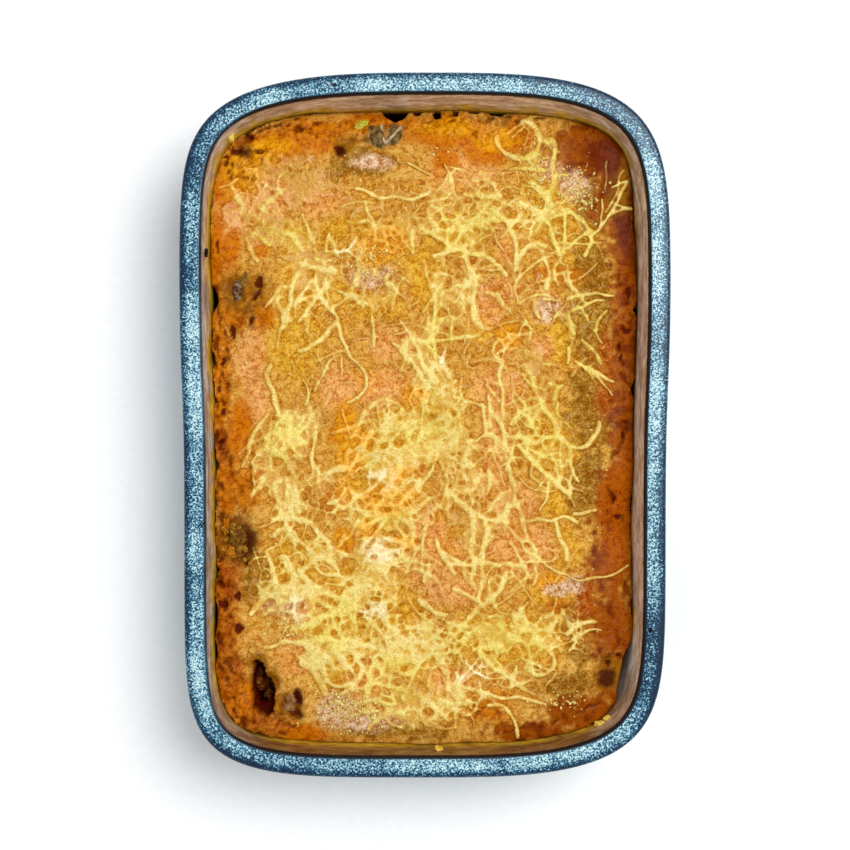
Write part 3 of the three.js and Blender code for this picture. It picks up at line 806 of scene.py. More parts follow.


# %% [markdown]
# ## Where the melted cheese lies
#
# Grated cheese melts where it lies. Strands keep their shape as soft flat ridges. Where they lie
# close they run together into a film, which has opened again in round holes. So every strand adds
# a ridge to one field, and the drifts add a film whose holes are the cells between scattered dots.
# Only what rises above a threshold is cheese. The strands that one sees first are listed as
# arcs, and the rest are drawn at random in the drifts.

# %% Strands and drifts
# Each strand is an arc: where it starts, its heading there, its length, its turn and its width.
STRANDS = [
    (31, -3, -87, 52, 23, 3), (-68, -73, 57, 38, -115, 3.4), (-62, -86, 10, 46, -23, 2.8),
    (39, 119, -19, 34, -253, 3), (50, 112, -85, 30, -18, 3.4), (-51, -79, 7, 28, 39, 3.6),
    (-58, -37, 24, 31, -125, 3.2), (24, -36, -94, 32, -2, 3), (-34, -87, 18, 32, -249, 2.8),
    (-22, -75, -42, 29, -60, 3), (14, 69, -67, 29, -26, 3), (4, 66, 25, 31, -81, 2.8),
    (38, -46, -57, 48, 90, 1.8), (18, -34, -87, 27, -4, 3.2), (12, -102, -8, 35, -9, 2.4),
    (37, -8, -54, 27, 16, 3), (11, -28, -41, 24, 31, 3.2), (-43, -86, -91, 19, 28, 4),
    (-49, -57, -50, 25, 51, 2.8), (53, 84, -1, 25, -123, 2.8), (53, -5, -59, 21, 161, 3.2),
    (-27, 92, -28, 30, 52, 2.2), (31, -4, -22, 22, 41, 3), (-35, 42, -99, 20, -77, 3.2),
    (37, 87, -31, 26, -44, 2.4), (4, 49, -97, 26, 15, 2.4), (36, 60, 106, 18, -128, 3.4),
    (27, 82, -32, 25, -78, 2.4), (-2, 33, 4, 23, -1, 2.6), (-13, 32, -45, 23, -11, 2.6),
    (-61, 23, -91, 19, 28, 3), (-71, -16, 73, 22, -20, 2.4), (46, 8, -51, 15, -28, 3.4),
    (78, 95, -104, 25, -34, 2), (40, -96, -44, 19, 189, 2.6), (-49, -57, 63, 19, -121, 2.6),
    (-49, 58, -116, 19, 12, 2.6), (-43, 58, -74, 19, 22, 2.6), (-28, 26, -26, 22, -140, 2.2),
    (29, 23, -87, 20, 3, 2.4), (-19, -91, -110, 16, 12, 3), (-5, 35, -72, 19, 5, 2.4),
    (40, -38, 21, 19, -42, 2.4), (51, -37, -70, 16, -6, 2.8), (-45, -49, -93, 17, 104, 2.6),
    (25, -108, -12, 20, -79, 2.2), (-22, -2, -111, 18, -3, 2.4), (-1, 77, -44, 16, 24, 2.6),
    (56, 49, 15, 18, -19, 2.2), (10, -54, -2, 18, 0, 2.2), (-55, -51, -41, 14, -64, 2.8),
    (-61, -50, -74, 15, -5, 2.6), (4, -45, -79, 15, 38, 2.6), (-37, -85, -110, 15, 30, 2.6),
    (24, 11, -71, 16, 9, 2.4), (59, 25, -37, 16, 22, 2.4), (33, 0, 59, 17, -51, 2.2),
    (-35, 41, -63, 15, -13, 2.4), (-2, -68, -39, 12, 27, 3), (-51, -24, -83, 10, 0, 3.4),
    (18, 49, -106, 13, 71, 2.6), (31, -57, -95, 13, -55, 2.6), (55, 83, -101, 16, 18, 2),
    (21, -89, -65, 13, 59, 2.4), (-43, -3, -92, 13, 0, 2.4), (54, 68, 34, 13, 4, 2.4),
    (55, -82, 68, 13, -84, 2.4), (-52, 49, -101, 12, -14, 2.4), (12, -97, -84, 11, 0, 2.6),
    (33, 100, -3, 13, 0, 2.2), (-54, -39, -68, 9, -5, 3), (58, 45, 18, 13, -1, 1.8),
    (22, 8, -83, 10, 3, 2.2), (-20, 42, -90, 11, 0, 2), (-16, -12, -67, 10, 2, 2.2),
    (39, 105, -56, 10, 38, 2.2), (72, 81, 40, 12, -36, 1.8), (40, 1, 45, 8, 0, 2.6),
    (-48, 18, -49, 11, -78, 1.8), (48, -23, -89, 11, -43, 1.8), (-44, 47, -128, 9, 0, 2.2),
    (66, 20, -43, 11, -18, 1.8), (58, -34, 3, 8, 0, 2.4), (57, -12, -109, 10, 71, 1.8),
    (33, -101, 74, 7, 0, 2.4), (-33, -90, -52, 7, 0, 2.2), (-6, 102, -26, 9, 0, 1.6),
    (21, -6, 22, 6, 0, 2.2), (-24, -112, 13, 7, 0, 1.8), (75, 86, -10, 7, 0, 1.6),
    (73, 93, 16, 6, 0, 1.6),
]
# Each drift: its place, half width, half length, number of strands, their main heading, how far
# they stray from it, how much has run together into a film, and how thick the film is.
DRIFTS = [
    (41, 107, 9, 13, 7, 90, 60, 0.45, 0.15), (45, 90, 12, 9, 12, 80, 90, 0.42, 0.15),
    (14, 82, 17, 15, 30, 60, 120, 0.78, 0.2), (22, 96, 12, 6, 8, 0, 60, 0.47, 0.15),
    (-15, 73, 18, 11, 10, 30, 80, 0.85, 0.12), (-71, 83, 9, 8, 2, -38, 15, 0.85, 0.07),
    (-59, 76, 13, 10, 3, -38, 15, 0.85, 0.06), (-47, 67, 12, 10, 5, -42, 20, 0.8, 0.08),
    (-37, 59, 10, 9, 6, -45, 30, 0.87, 0.2), (-56, 94, 24, 13, 6, 20, 40, 0.9, 0.08),
    (-48, 45, 13, 16, 16, 65, 40, 0.42, 0.2), (-19, 50, 15, 11, 14, 50, 90, 0.62, 0.15),
    (10, 50, 11, 18, 20, 85, 40, 0.78, 0.22), (37, 80, 13, 13, 12, 80, 120, 0.54, 0.16),
    (53, 72, 11, 13, 12, 60, 120, 0.46, 0.14), (60, 42, 8, 18, 16, 60, 90, 0.46, 0.1),
    (64, 18, 5, 10, 4, 90, 70, 0.3, 0.12), (37, 26, 13, 14, 12, 60, 90, 0.54, 0.15),
    (-10, -8, 23, 20, 36, 58, 40, 1.0, 0.27), (-10, -33, 19, 11, 16, 30, 80, 0.95, 0.26),
    (-18, -50, 10, 9, 6, 80, 60, 0.95, 0.32), (-24, -34, 13, 9, 8, 30, 60, 0.95, 0.08),
    (6, 12, 13, 14, 18, 90, 45, 0.96, 0.2), (12, -12, 10, 20, 18, 95, 30, 0.95, 0.26),
    (45, 3, 14, 14, 22, 60, 120, 0.52, 0.16), (49, -18, 15, 13, 22, 120, 90, 0.42, 0.12),
    (24, -29, 12, 26, 22, 92, 30, 0.62, 0.2), (29, -4, 8, 22, 12, 95, 30, 0.52, 0.12),
    (-54, -4, 8, 12, 12, 80, 60, 1.15, 0.4), (-60, -12, 8, 9, 6, 60, 60, 1.0, 0.22),
    (-48, 2, 9, 8, 6, 60, 60, 0.95, 0.2), (-56, -20, 12, 10, 8, 80, 60, 0.85, 0.16),
    (-52, -32, 11, 9, 8, 80, 60, 0.62, 0.25), (-37, -84, 17, 15, 22, 70, 120, 0.82, 0.34),
    (-49, -68, 14, 9, 10, 10, 90, 0.74, 0.34), (-27, -68, 13, 10, 14, 60, 120, 0.84, 0.36),
    (-13, -88, 15, 16, 22, 90, 120, 0.84, 0.34), (-17, -62, 13, 12, 16, 120, 120, 0.88, 0.34),
    (29, -82, 21, 11, 24, 30, 120, 0.92, 0.3), (53, -80, 13, 10, 12, 40, 90, 0.8, 0.26),
    (6, -84, 13, 12, 18, 60, 120, 0.88, 0.34), (33, -96, 18, 7, 14, 10, 60, 0.68, 0.22),
    (-2, -110, 18, 9, 24, 80, 90, 0.92, 0.18), (-22, -104, 12, 9, 12, 80, 70, 0.67, 0.2),
    (14, -104, 13, 8, 14, 60, 90, 0.77, 0.2), (-58, -60, 11, 16, 10, 120, 60, 0.67, 0.25),
    (45, -53, 16, 9, 12, 80, 90, 0.52, 0.12), (26, -59, 12, 9, 10, 80, 90, 0.6, 0.2),
    (-2, 30, 10, 12, 12, 90, 60, 0.62, 0.18), (-15, 29, 12, 12, 5, 60, 70, 0.32, 0.1),
    (-37, 21, 14, 12, 8, 70, 90, 0.36, 0.05), (-31, 4, 10, 12, 5, 60, 60, 0.45, 0.04),
    (-37, -29, 12, 14, 10, 70, 70, 0.72, 0.14), (-37, -48, 14, 9, 10, 50, 90, 0.67, 0.24),
    (-8, -50, 12, 10, 14, 80, 90, 0.72, 0.18), (72, 88, 5, 12, 4, 70, 60, 0, 0.1),
    (45, 52, 12, 10, 10, 60, 120, 0.57, 0.12), (26, 54, 10, 12, 10, 80, 90, 0.55, 0.1),
    (-10, 88, 26, 8, 6, 10, 60, 0.5, 0.04), (-45, 62, 22, 16, 10, 60, 50, 0.5, 0.06),
    (0, -62, 40, 14, 10, 80, 90, 0.42, 0.06), (20, -40, 34, 30, 12, 90, 60, 0.4, 0.05),
    (20, 30, 40, 30, 14, 80, 90, 0.42, 0.05), (-56, -46, 14, 12, 8, 100, 60, 0.4, 0.08),
    (10, 96, 18, 8, 4, 60, 90, 0.34, 0.05),
]
# Where the cheese is a greenish lemon yellow rather than cream: place, half width, half length.
LEMON = [
    (-54, -5, 9, 11), (-28, 70, 12, 9), (-58, 76, 14, 8), (46, 100, 12, 16), (56, 74, 14, 14),
    (62, 34, 14, 20), (46, -2, 14, 22), (50, 18, 14, 12), (18, 78, 16, 14), (6, 40, 8, 16),
    (-4, -2, 12, 12), (-14, -30, 12, 10), (30, -84, 22, 12), (-36, -76, 18, 12),
    (-12, -100, 14, 12),
]
# Where it has not run out and is thick and white, and where a painted highlight lies on it.
MILK_AND_HIGHLIGHT = [
    (-17, -48, 8, 6), (-50, -72, 5, 6), (-20, -72, 6, 4), (-17, -22, 7, 5), (8, 26, 3, 4),
    (-30, 68, 6, 5), (-66, 92, 8, 5), (18, -96, 8, 6),
]
CHEESE_STEP = 0.38
CHEESE_HALF = (84, 122)
THRESHOLD = 0.5
RANDOM_SHARE = 0.85  # of each drift's number of strands

axis_x = np.arange(-CHEESE_HALF[0], CHEESE_HALF[0] + CHEESE_STEP / 2, CHEESE_STEP)
axis_y = np.arange(-CHEESE_HALF[1], CHEESE_HALF[1] + CHEESE_STEP / 2, CHEESE_STEP)
grid_x, grid_y = np.meshgrid(axis_x, axis_y, indexing="ij")


def random_strands():
    """Shorter and finer strands in each drift, along its main heading, many of them curled."""
    draw = seeded_random(2024)
    for x, y, across, along, count, heading, stray, _, _ in DRIFTS:
        for _ in range(round(RANDOM_SHARE * count)):
            bearing, out = 2 * math.pi * draw(), math.sqrt(draw())
            start_x = x + across * out * math.cos(bearing)
            start_y = y + along * out * math.sin(bearing)
            aim = heading + 180 * round(draw()) + stray * (2 * draw() - 1)
            length, width = 5 + 12 * draw() ** 1.3, 1.35 + 1.3 * draw() ** 1.6
            turn = 300 * (draw() - 0.5) * draw()
            middle = math.radians(aim + turn / 4)
            start_x -= 0.5 * length * math.cos(middle)
            start_y -= 0.5 * length * math.sin(middle)
            yield (start_x, start_y, aim, length, turn, width), 0.6 + 0.25 * draw()


def lay_strand(layers, strand, strength, number):
    """Adds a strand's flat-topped ridge to the layers. It sways and wavers in width."""
    x, y, heading, length, turn, width = strand
    line = arc_points(x, y, heading, length, turn)
    sway = [1.1 * noise(line[:, 0], line[:, 1], 6, seed + number) for seed in (2000, 4000)]
    line += np.column_stack(sway)
    share = np.linspace(0, 1, len(line))
    taper = 0.88 + 0.12 * np.clip(np.minimum(share, 1 - share) * 8, 0, 1)
    widths = width * taper * (1 + 0.25 * noise(line[:, 0], line[:, 1], 3.0, number))
    reach = 1.7 * width
    i0, i1 = np.searchsorted(axis_x, (line[:, 0].min() - reach, line[:, 0].max() + reach))
    j0, j1 = np.searchsorted(axis_y, (line[:, 1].min() - reach, line[:, 1].max() + reach))
    across, along = grid_x[i0:i1, j0:j1], grid_y[i0:i1, j0:j1]
    nearest = np.full(across.shape, 99.0)
    for (line_x, line_y), wide in zip(line, widths):
        gap = ((across - line_x) ** 2 + (along - line_y) ** 2) / (wide / 2) ** 2
        nearest = np.minimum(nearest, gap)
    ridge = strength / (1 + nearest**1.8)
    window = (slice(i0, i1), slice(j0, j1))
    layers["tint"][window] = np.where(
        ridge > layers["crest"][window], strand_tints[number], layers["tint"][window]
    )
    layers["crest"][window] = np.maximum(layers["crest"][window], ridge)
    layers["total"][window] += ridge**MELTING


def film(x, y):
    """Cheese that has run together, with round openings in it where it is thin."""
    pushed_x = x + 2.5 * rough(x, y, 9, 2, 81)
    pushed_y = y + 2.5 * rough(x, y, 9, 2, 82)
    cover, weight, body = np.zeros_like(x), np.full_like(x, 1e-6), np.zeros_like(x)
    for across, along, wide, long, _, _, _, share, depth in DRIFTS:
        far_out = ((pushed_x - across) / wide) ** 2 + ((pushed_y - along) / long) ** 2
        inside = np.exp(-(far_out**1.6))
        cover = np.maximum(cover, share * inside)
        weight += inside**2
        body += depth * inside**2
    cover *= 0.9 + 0.3 * rough(x, y, 6, 2, 83)
    cover *= 1 - 0.4 * ovals(pushed_x, pushed_y, ZONES["amber"])
    pushed_x = x + 0.9 * noise(x, y, 3.6, 84) + 0.3 * noise(x, y, 1.5, 85)
    pushed_y = y + 0.9 * noise(x, y, 3.6, 86) + 0.3 * noise(x, y, 1.5, 87)
    _, from_edge, luck = cells(pushed_x, pushed_y, 3.0, 88)
    _, wider_edge, wider_luck = cells(pushed_x, pushed_y, 5.6, 89)
    wide_part = smooth_step(-0.3, 0.1, noise(x, y, 9, 90))
    from_edge += (wider_edge - from_edge) * wide_part
    luck += (wider_luck - luck) * wide_part
    reach = 1.2 * (cover - 0.26) + 0.7 * (luck - 0.5) * cover + 0.12 * noise(x, y, 4, 93)
    opened = np.clip((reach - from_edge) / 0.26, -4, 1)
    web = 0.12 * cover * np.exp(-((from_edge / 0.16) ** 2))
    threads = np.exp(-((noise(x, y, 2.6, 95) / 0.2) ** 2))
    threads += np.exp(-((noise(x, y, 1.9, 96) / 0.2) ** 2))
    closed = body / weight * (1 + 0.3 * noise(x, y, 2.2, 94)) + 0.09 * threads
    return 0.5 + np.where(opened > 0, closed * opened + web, 0.25 * opened)


# %% Cheese field
MELTING = 2.6  # the higher it is, the less neighbouring strands run together
MEASURED_WIDTH = 0.86  # melted edges make strands look wider than they are
MEASURED_STRENGTH = 0.95
layers = {name: np.zeros_like(grid_x) for name in ("crest", "total", "tint")}
all_strands = [((*row[:5], MEASURED_WIDTH * row[5]), MEASURED_STRENGTH) for row in STRANDS]
all_strands += list(random_strands())
strand_tints = np.random.default_rng(3).random(len(all_strands))
for number, (strand, strength) in enumerate(all_strands):
    lay_strand(layers, strand, strength, number)
film_field = np.maximum(film(grid_x, grid_y), 0)
cheese_field = (layers["total"] + film_field**MELTING) ** (1 / MELTING)
cheese_field = np.minimum(cheese_field, 0.9 + 0.35 * (cheese_field - 0.9))
waver = 0.08 * noise(grid_x, grid_y, 1.7, 91) + 0.08 * noise(grid_x, grid_y, 3.2, 92)
cheese_field += waver * np.clip(cheese_field * 1.5, 0, 1)
room = rim_depth(grid_x, grid_y)[0] - wall_inset(PIE_LEVEL)
cheese_field *= smooth_step(0.8, 2.2, room)
cheese_field *= smooth_step(1.0, 1.35, pit_ratio(grid_x, grid_y))
lemon = ovals(grid_x, grid_y, LEMON)
share = (cheese_field > THRESHOLD).mean()
print(f"{len(all_strands)} strands; cheese covers {share:.0%} of the pie")


def blurred(field, radius):
    """The field smoothed over a square, twice in each direction."""
    count = round(radius / CHEESE_STEP)
    kernel = np.ones(2 * count + 1) / (2 * count + 1)
    kernel = np.convolve(kernel, kernel)
    for axis in (0, 1):
        field = np.apply_along_axis(lambda line: np.convolve(line, kernel, "same"), axis, field)
    return field


def look_up(field, x, y):
    """The field's value at the grid point nearest to each place."""
    i = np.clip(np.round((x + CHEESE_HALF[0]) / CHEESE_STEP).astype(int), 0, len(axis_x) - 1)
    j = np.clip(np.round((y + CHEESE_HALF[1]) / CHEESE_STEP).astype(int), 0, len(axis_y) - 1)
    return field[i, j]


milk_and_highlight = ovals(grid_x, grid_y, MILK_AND_HIGHLIGHT)
oil_field = blurred(np.clip(cheese_field, 0, 1.2), 2.2)
near_field = blurred(np.clip(cheese_field, 0, 1), 0.8)

# %% [markdown]
# ## Layers in the dish
#
# The filling and the mash were both spooned into the dish, so both are made the same way. A fine
# grid is laid over the dish, and each point is lifted to the layer's height. Points beyond the
# wall are deleted, and those left on the border are moved exactly onto the wall's line, so that
# it runs smoothly. Then the border is extruded down along the leaning wall and filled, which
# makes a closed body as thick as the real layer.

# %% Laying a layer
LAYER_HALF = (86, 127)


def no_gap(x, y):
    return np.zeros_like(x)


def lay_layer(name, step, height, gap=no_gap, hole=None):
    """A grid at the layer's height, with its border on the inner wall's line, less a gap."""
    deselect_all()
    bpy.ops.mesh.primitive_grid_add(
        x_subdivisions=round(2 * LAYER_HALF[0] / step),
        y_subdivisions=round(2 * LAYER_HALF[1] / step),
        size=2,
    )
    layer = start_piece(name)
    points = get_points(layer) * (LAYER_HALF[0], LAYER_HALF[1], 0)
    x, y = points[:, 0], points[:, 1]
    room = rim_depth(x, y)[0] - wall_inset(height(x, y)) - CLEARANCE - gap(x, y)
    outside = room < -0.5 * step
    if hole:
        outside |= hole(x, y)
    set_points(layer, points)
    select_points(layer, outside)
    edit(layer, lambda: bpy.ops.mesh.delete(type="VERT"))
    points = get_points(layer)
    border = border_mask(layer)
    if hole:
        border &= rim_depth(points[:, 0], points[:, 1])[0] < RIM_WIDTH + 12
        border &= pit_ratio(points[:, 0], points[:, 1]) > PIT_LIP
    for _ in range(3):
        x, y = points[border, 0], points[border, 1]
        depth, nearest = rim_depth(x, y)
        miss = depth - wall_inset(height(x, y)) - CLEARANCE - gap(x, y)
        points[border, :2] += rim_normals[nearest] * miss[:, None]
    points[:, 2] = height(points[:, 0], points[:, 1])
    set_points(layer, points)
    return layer


def extrude_border():
    """Extrudes the edges that belong to one face only."""
    bpy.ops.mesh.select_mode(type="EDGE")
    bpy.ops.mesh.select_all(action="DESELECT")
    bpy.ops.mesh.select_non_manifold(
        use_wire=False, use_multi_face=False, use_non_contiguous=False, use_verts=False
    )
    bpy.ops.mesh.extrude_edges_move()
    bpy.ops.mesh.select_mode(type="VERT")


def draw_down(layer, level, inward=0.0, leaning=None):
    """Extrudes the open border down to a level, along the wall where it leans, and inward."""
    count = len(layer.data.vertices)
    edit(layer, extrude_border)
    points = get_points(layer)
    moved = points[count:]
    depth, nearest = rim_depth(moved[:, 0], moved[:, 1])
    lean = WALL_DRAFT * (moved[:, 2] - level) + inward
    if leaning is not None:
        lean = lean * leaning(moved[:, 0], moved[:, 1])
    moved[:, :2] -= rim_normals[nearest] * lean[:, None]
    moved[:, 2] = level
    set_points(layer, points)
    select_points(layer, np.arange(len(points)) >= count)


# %% Mash topping
MASH_STEP = 0.66
MASH_BASE = FILLING_TOP + CLEARANCE

mash = lay_layer(
    "mash_topping_crust",
    MASH_STEP,
    lambda x, y: mash_surface(x, y)[0],
    drawn_back,
    lambda x, y: pit_ratio(x, y) < PIT_OPENING,
)
points = get_points(mash)
x, y = points[:, 0], points[:, 1]
_, hole, glint, zone = mash_surface(x, y)
room = rim_depth(x, y)[0] - wall_inset(points[:, 2])
points[:, 2] -= 0.7 * np.clip(1 - room / 2.2, 0, 1) ** 2
set_points(mash, points)
store_colour(mash, "tone", crust_tone(zone))
store(mash, "sandy", sandiness(zone))
store(mash, "dusty", zone["floury"])
# The glint is a painted highlight, and the hole mask is painted shade in holes and creases.
store(mash, "glint", glint)
store(mash, "hole", hole)
store(mash, "oil", look_up(oil_field, x, y))
# Crust beside and under the cheese is painted a darker golden brown: partly fried in its fat, partly
# painted shade along the strands.
store(mash, "fried_and_shaded", smooth_step(0.28, 0.46, look_up(near_field, x, y)))
print(f"{len(points)} points on the crust")

draw_down(mash, MASH_BASE, leaning=lambda x, y: (pit_ratio(x, y) > PIT_LIP) * 1.0)
edit(mash, lambda: bpy.ops.mesh.fill(use_beauty=False))
finish_piece(mash, 80)
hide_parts("mash_topping")

# %% [markdown]
# ## The melted cheese
#
# The cheese is thin, so it is made as a skin. A grid is lifted to the cheese's height and dips
# under the mash where the field falls below the threshold, which gives it a soft edge. What lies
# deeper is deleted, and the Solidify modifier turns the skin into a closed body. It is made in
# six sheets from end to end, so that none of them is too heavy to handle.

# %% Cheese sheets
CHEESE_HEIGHT = 0.8
THICKEST = 1.6  # times the height of a single strand
SKIRT = 0.12  # how far below the threshold the sheet still reaches
CHEESE_SKIN = 0.5
SLABS = 6


def without_pinches(kept):
    """Adds points until no two kept squares touch at a corner only, which would not be closed."""
    kept = kept.copy()
    while True:
        square = kept[:-1, :-1] & kept[1:, :-1] & kept[:-1, 1:] & kept[1:, 1:]
        a, b, c, d = square[:-1, :-1], square[1:, 1:], square[1:, :-1], square[:-1, 1:]
        pinched = (a & b & ~c & ~d) | (c & d & ~a & ~b)
        if not pinched.any():
            return kept
        i, j = np.nonzero(pinched)
        for di in (0, 1, 2):
            for dj in (0, 1, 2):
                kept[i + di, j + dj] = True


def drop_loose():
    """Deletes points and edges that belong to no face."""
    bpy.ops.mesh.select_all(action="SELECT")
    bpy.ops.mesh.delete_loose(use_verts=True, use_edges=True, use_faces=False)


over = cheese_field - THRESHOLD
thickness = np.clip(over / (1 - THRESHOLD), 0, THICKEST)
mash_below, _, _, zone_below = mash_surface(grid_x.ravel(), grid_y.ravel(), crumb=False)
mash_below = mash_below.reshape(grid_x.shape)
tone_below = crust_tone(zone_below).reshape(*grid_x.shape, 4)
amber_below = zone_below["amber"].reshape(grid_x.shape)
cheese_top = mash_below + CHEESE_HEIGHT * thickness + 0.12 - 1.0 * np.clip(-over / SKIRT, 0, 1)
kept = without_pinches(over > -SKIRT)
slab_edges = np.linspace(0, len(axis_y) - 1, SLABS + 1).astype(int)
for slab in range(SLABS):
    deselect_all()
    bpy.ops.mesh.primitive_grid_add(
        x_subdivisions=len(axis_x) - 1, y_subdivisions=len(axis_y) - 1, size=2
    )
    sheet = start_piece(f"melted_cheese_{slab + 1}")
    points = get_points(sheet) * (CHEESE_HALF[0], CHEESE_HALF[1], 0)
    i = np.round((points[:, 0] / CHEESE_HALF[0] + 1) / 2 * (len(axis_x) - 1)).astype(int)
    j = np.round((points[:, 1] / CHEESE_HALF[1] + 1) / 2 * (len(axis_y) - 1)).astype(int)
    set_points(sheet, np.column_stack([axis_x[i], axis_y[j], cheese_top[i, j]]))
    store(sheet, "thickness", thickness[i, j])
    store(sheet, "lemon", lemon[i, j])
    store(sheet, "milk_and_highlight", milk_and_highlight[i, j])
    store(sheet, "amber", amber_below[i, j])
    store(sheet, "tint", layers["tint"][i, j])
    store_colour(sheet, "tone", tone_below[i, j])
    inside = (j >= slab_edges[slab]) & (j <= slab_edges[slab + 1])
    select_points(sheet, ~(kept[i, j] & inside))
    edit(sheet, lambda: bpy.ops.mesh.delete(type="VERT"), drop_loose)
    solid = sheet.modifiers.new("skin", "SOLIDIFY")
    solid.thickness = CHEESE_SKIN
    solid.offset = -1
    activate(sheet)
    bpy.ops.object.modifier_apply(modifier=solid.name)
    finish_piece(sheet, 80)

# %% [markdown]
# ## The filling
#
# Under the mash lies dark gravy with shreds of duck. Only a little of it shows, at the bottom of
# the pit and of the gaps along the wall. It is laid like the mash, and drawn down to the floor of
# the dish. In the pit a few larger pieces of duck stand up out of the gravy, as lumps.

# %% Filling
FILLING_STEP = 1.2
# The levels down the dish's rounded inner corner, and the step inward to each.
FILLING_LEVELS = [(20, 0.0), (14, 1.2), (9.4, 2.2), (FLOOR_HEIGHT, 3.2)]


def filling_surface(x, y):
    return FILLING_TOP - 0.9 + 0.8 * rough(x, y, 7, 3, 101)


filling = lay_layer("duck_filling", FILLING_STEP, filling_surface)
for level, inward in FILLING_LEVELS:
    draw_down(filling, level + CLEARANCE, inward)
edit(filling, lambda: bpy.ops.mesh.fill(use_beauty=False))
finish_piece(filling, 80)
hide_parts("filling")


# %% Lumps
def lump_swell(way, seed, roughness):
    """How far an uneven lump swells in each direction, from a few waves."""
    draw = seeded_random(seed)
    swell = np.ones(len(way))
    for _ in range(5):
        axis = np.array([draw() - 0.5, draw() - 0.5, draw() - 0.5])
        axis /= np.linalg.norm(axis)
        beat, phase = 2 + 3 * draw(), 2 * math.pi * draw()
        swell += roughness * 0.4 * np.sin(beat * 2 * (way @ axis) + phase)
    return swell


def make_lump(name, place, half_sizes, seed, roughness, fine=0.0, grain=(0.7, 0.7), turn=0.0):
    """A closed lump from an ico sphere. Fine noise is drawn out along the grain."""
    deselect_all()
    bpy.ops.mesh.primitive_ico_sphere_add(subdivisions=6, radius=1)
    piece = start_piece(name)
    way = get_points(piece)
    way /= np.linalg.norm(way, axis=1)[:, None]
    points = way * half_sizes * lump_swell(way, seed, roughness)[:, None]
    if fine:
        across, along = points[:, 0] + points[:, 2], points[:, 1] + 0.3 * points[:, 2]
        ridges = noise(across / grain[0], along / grain[1], 1, seed + 300)
        ridges += 0.5 * noise(across / grain[0], along / grain[1], 0.45, seed + 301)
        points += way * (fine * ridges)[:, None]
    c, s = math.cos(turn), math.sin(turn)
    x, y = points[:, 0], points[:, 1]
    points[:, 0], points[:, 1] = x * c - y * s, x * s + y * c
    set_points(piece, points + np.array(place))
    return piece


# %% Duck in the pit
# Each: name, place, half sizes and seed.
PIT_LUMPS = [
    ("pit_duck_1", (-65.6, -101.4, 28), (3.4, 5.0, 8), 32),
    ("pit_duck_2", (-61.6, -108, 27), (2.8, 3.4, 8), 33),
    ("pit_duck_3", (-61.4, -99, 25), (3.2, 6.5, 7), 34),
]
for name, place, half_sizes, seed in PIT_LUMPS:
    piece = make_lump(name, place, half_sizes, seed, 0.14, 0.35, (0.8, 2.2))
    finish_piece(piece, 80)
    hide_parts("filling")

# %% [markdown]
# ## Pieces in the mash
#
# Three pieces of duck stand in the mash near the wall. Roast duck pulls apart along its fibres,
# so its surface is drawn out in one direction. One of them carries two small blobs of mash.

# %% Duck pieces
# Each: the node it stands for, place, half sizes, how far it rises above the crust, and seed.
DUCK_PIECES = [
    ("duck_piece_back", (-73.2, 52.2), (2.0, 5.2, 3), 1.2, 3),
    ("duck_piece_side", (-73.2, -44.8), (5.4, 9.2, 5), 0.6, 5),
    ("duck_piece_front", (-53, -108), (3, 4.4, 3), 0.6, 8),
]
for name, (x, y), half_sizes, lift, seed in DUCK_PIECES:
    level = pie_surface(np.array([x]), np.array([y]))[0]
    place = (x, y, level + lift - half_sizes[2])
    shrunk = [size - 0.25 for size in half_sizes]
    piece = make_lump(f"roast_{name}", place, shrunk, seed, 0.07, 0.4, (1.6, 0.8))
    finish_piece(piece, 80)
    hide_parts(name)

BLOB_TONE = "#b07014"
# Each: name, place, half sizes and seed.
MASH_BLOBS = [
    ("mash_blob_side", (-75.4, -48.8, 47.9), (2.7, 2.7, 1.8), 41),
    ("mash_blob_upper", (-77.2, -39.4, 47.6), (1.6, 3.2, 1.4), 42),
]
for name, place, half_sizes, seed in MASH_BLOBS:
    piece = make_lump(name, place, half_sizes, seed, 0.2, 0.2)
    count = len(piece.data.vertices)
    store(piece, "sandy", np.zeros(count))
    store_colour(piece, "tone", np.tile(linear(BLOB_TONE), (count, 1)))
    finish_piece(piece, 80)

# %% [markdown]
# ### The onion slice
#
# At the far wall a thin slice of onion stands folded in a V. It is a flat oval ring extruded
# along the fold's path, from one place to the next, thinner at its free ends.

# %% Onion slice
ONION_FOLD = [(-17.2, 117.6), (-16.9, 113.4), (-15.9, 109.6), (-13.4, 111.8), (-9.4, 116.9)]
ONION_THICKNESS = 2.3
ONION_DEPTH = 5.8
ONION_LIFT = 1.6

fold = cut_corners(ONION_FOLD, 3)
level = pie_surface(fold[:, 0], fold[:, 1]).mean()
middle = level + ONION_LIFT - ONION_DEPTH / 2
turn = np.linspace(0, 2 * math.pi, 32, endpoint=False)
rings = []
for number, (x, y) in enumerate(fold):
    ahead = fold[min(number + 1, len(fold) - 1)] - fold[max(number - 1, 0)]
    side = np.array([-ahead[1], ahead[0]]) / np.linalg.norm(ahead)
    end = 0.35 + 0.65 * math.sin(math.pi * (number + 1) / (len(fold) + 1)) ** 0.35
    across = np.cos(turn) * ONION_THICKNESS / 2 * end
    up = np.sin(turn) * ONION_DEPTH / 2 * end
    rings.append(np.column_stack([x + side[0] * across, y + side[1] * across, middle + up]))
onion = extrude_rings("onion_leaf", rings)
finish_piece(onion, 60)
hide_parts("onion_slice")

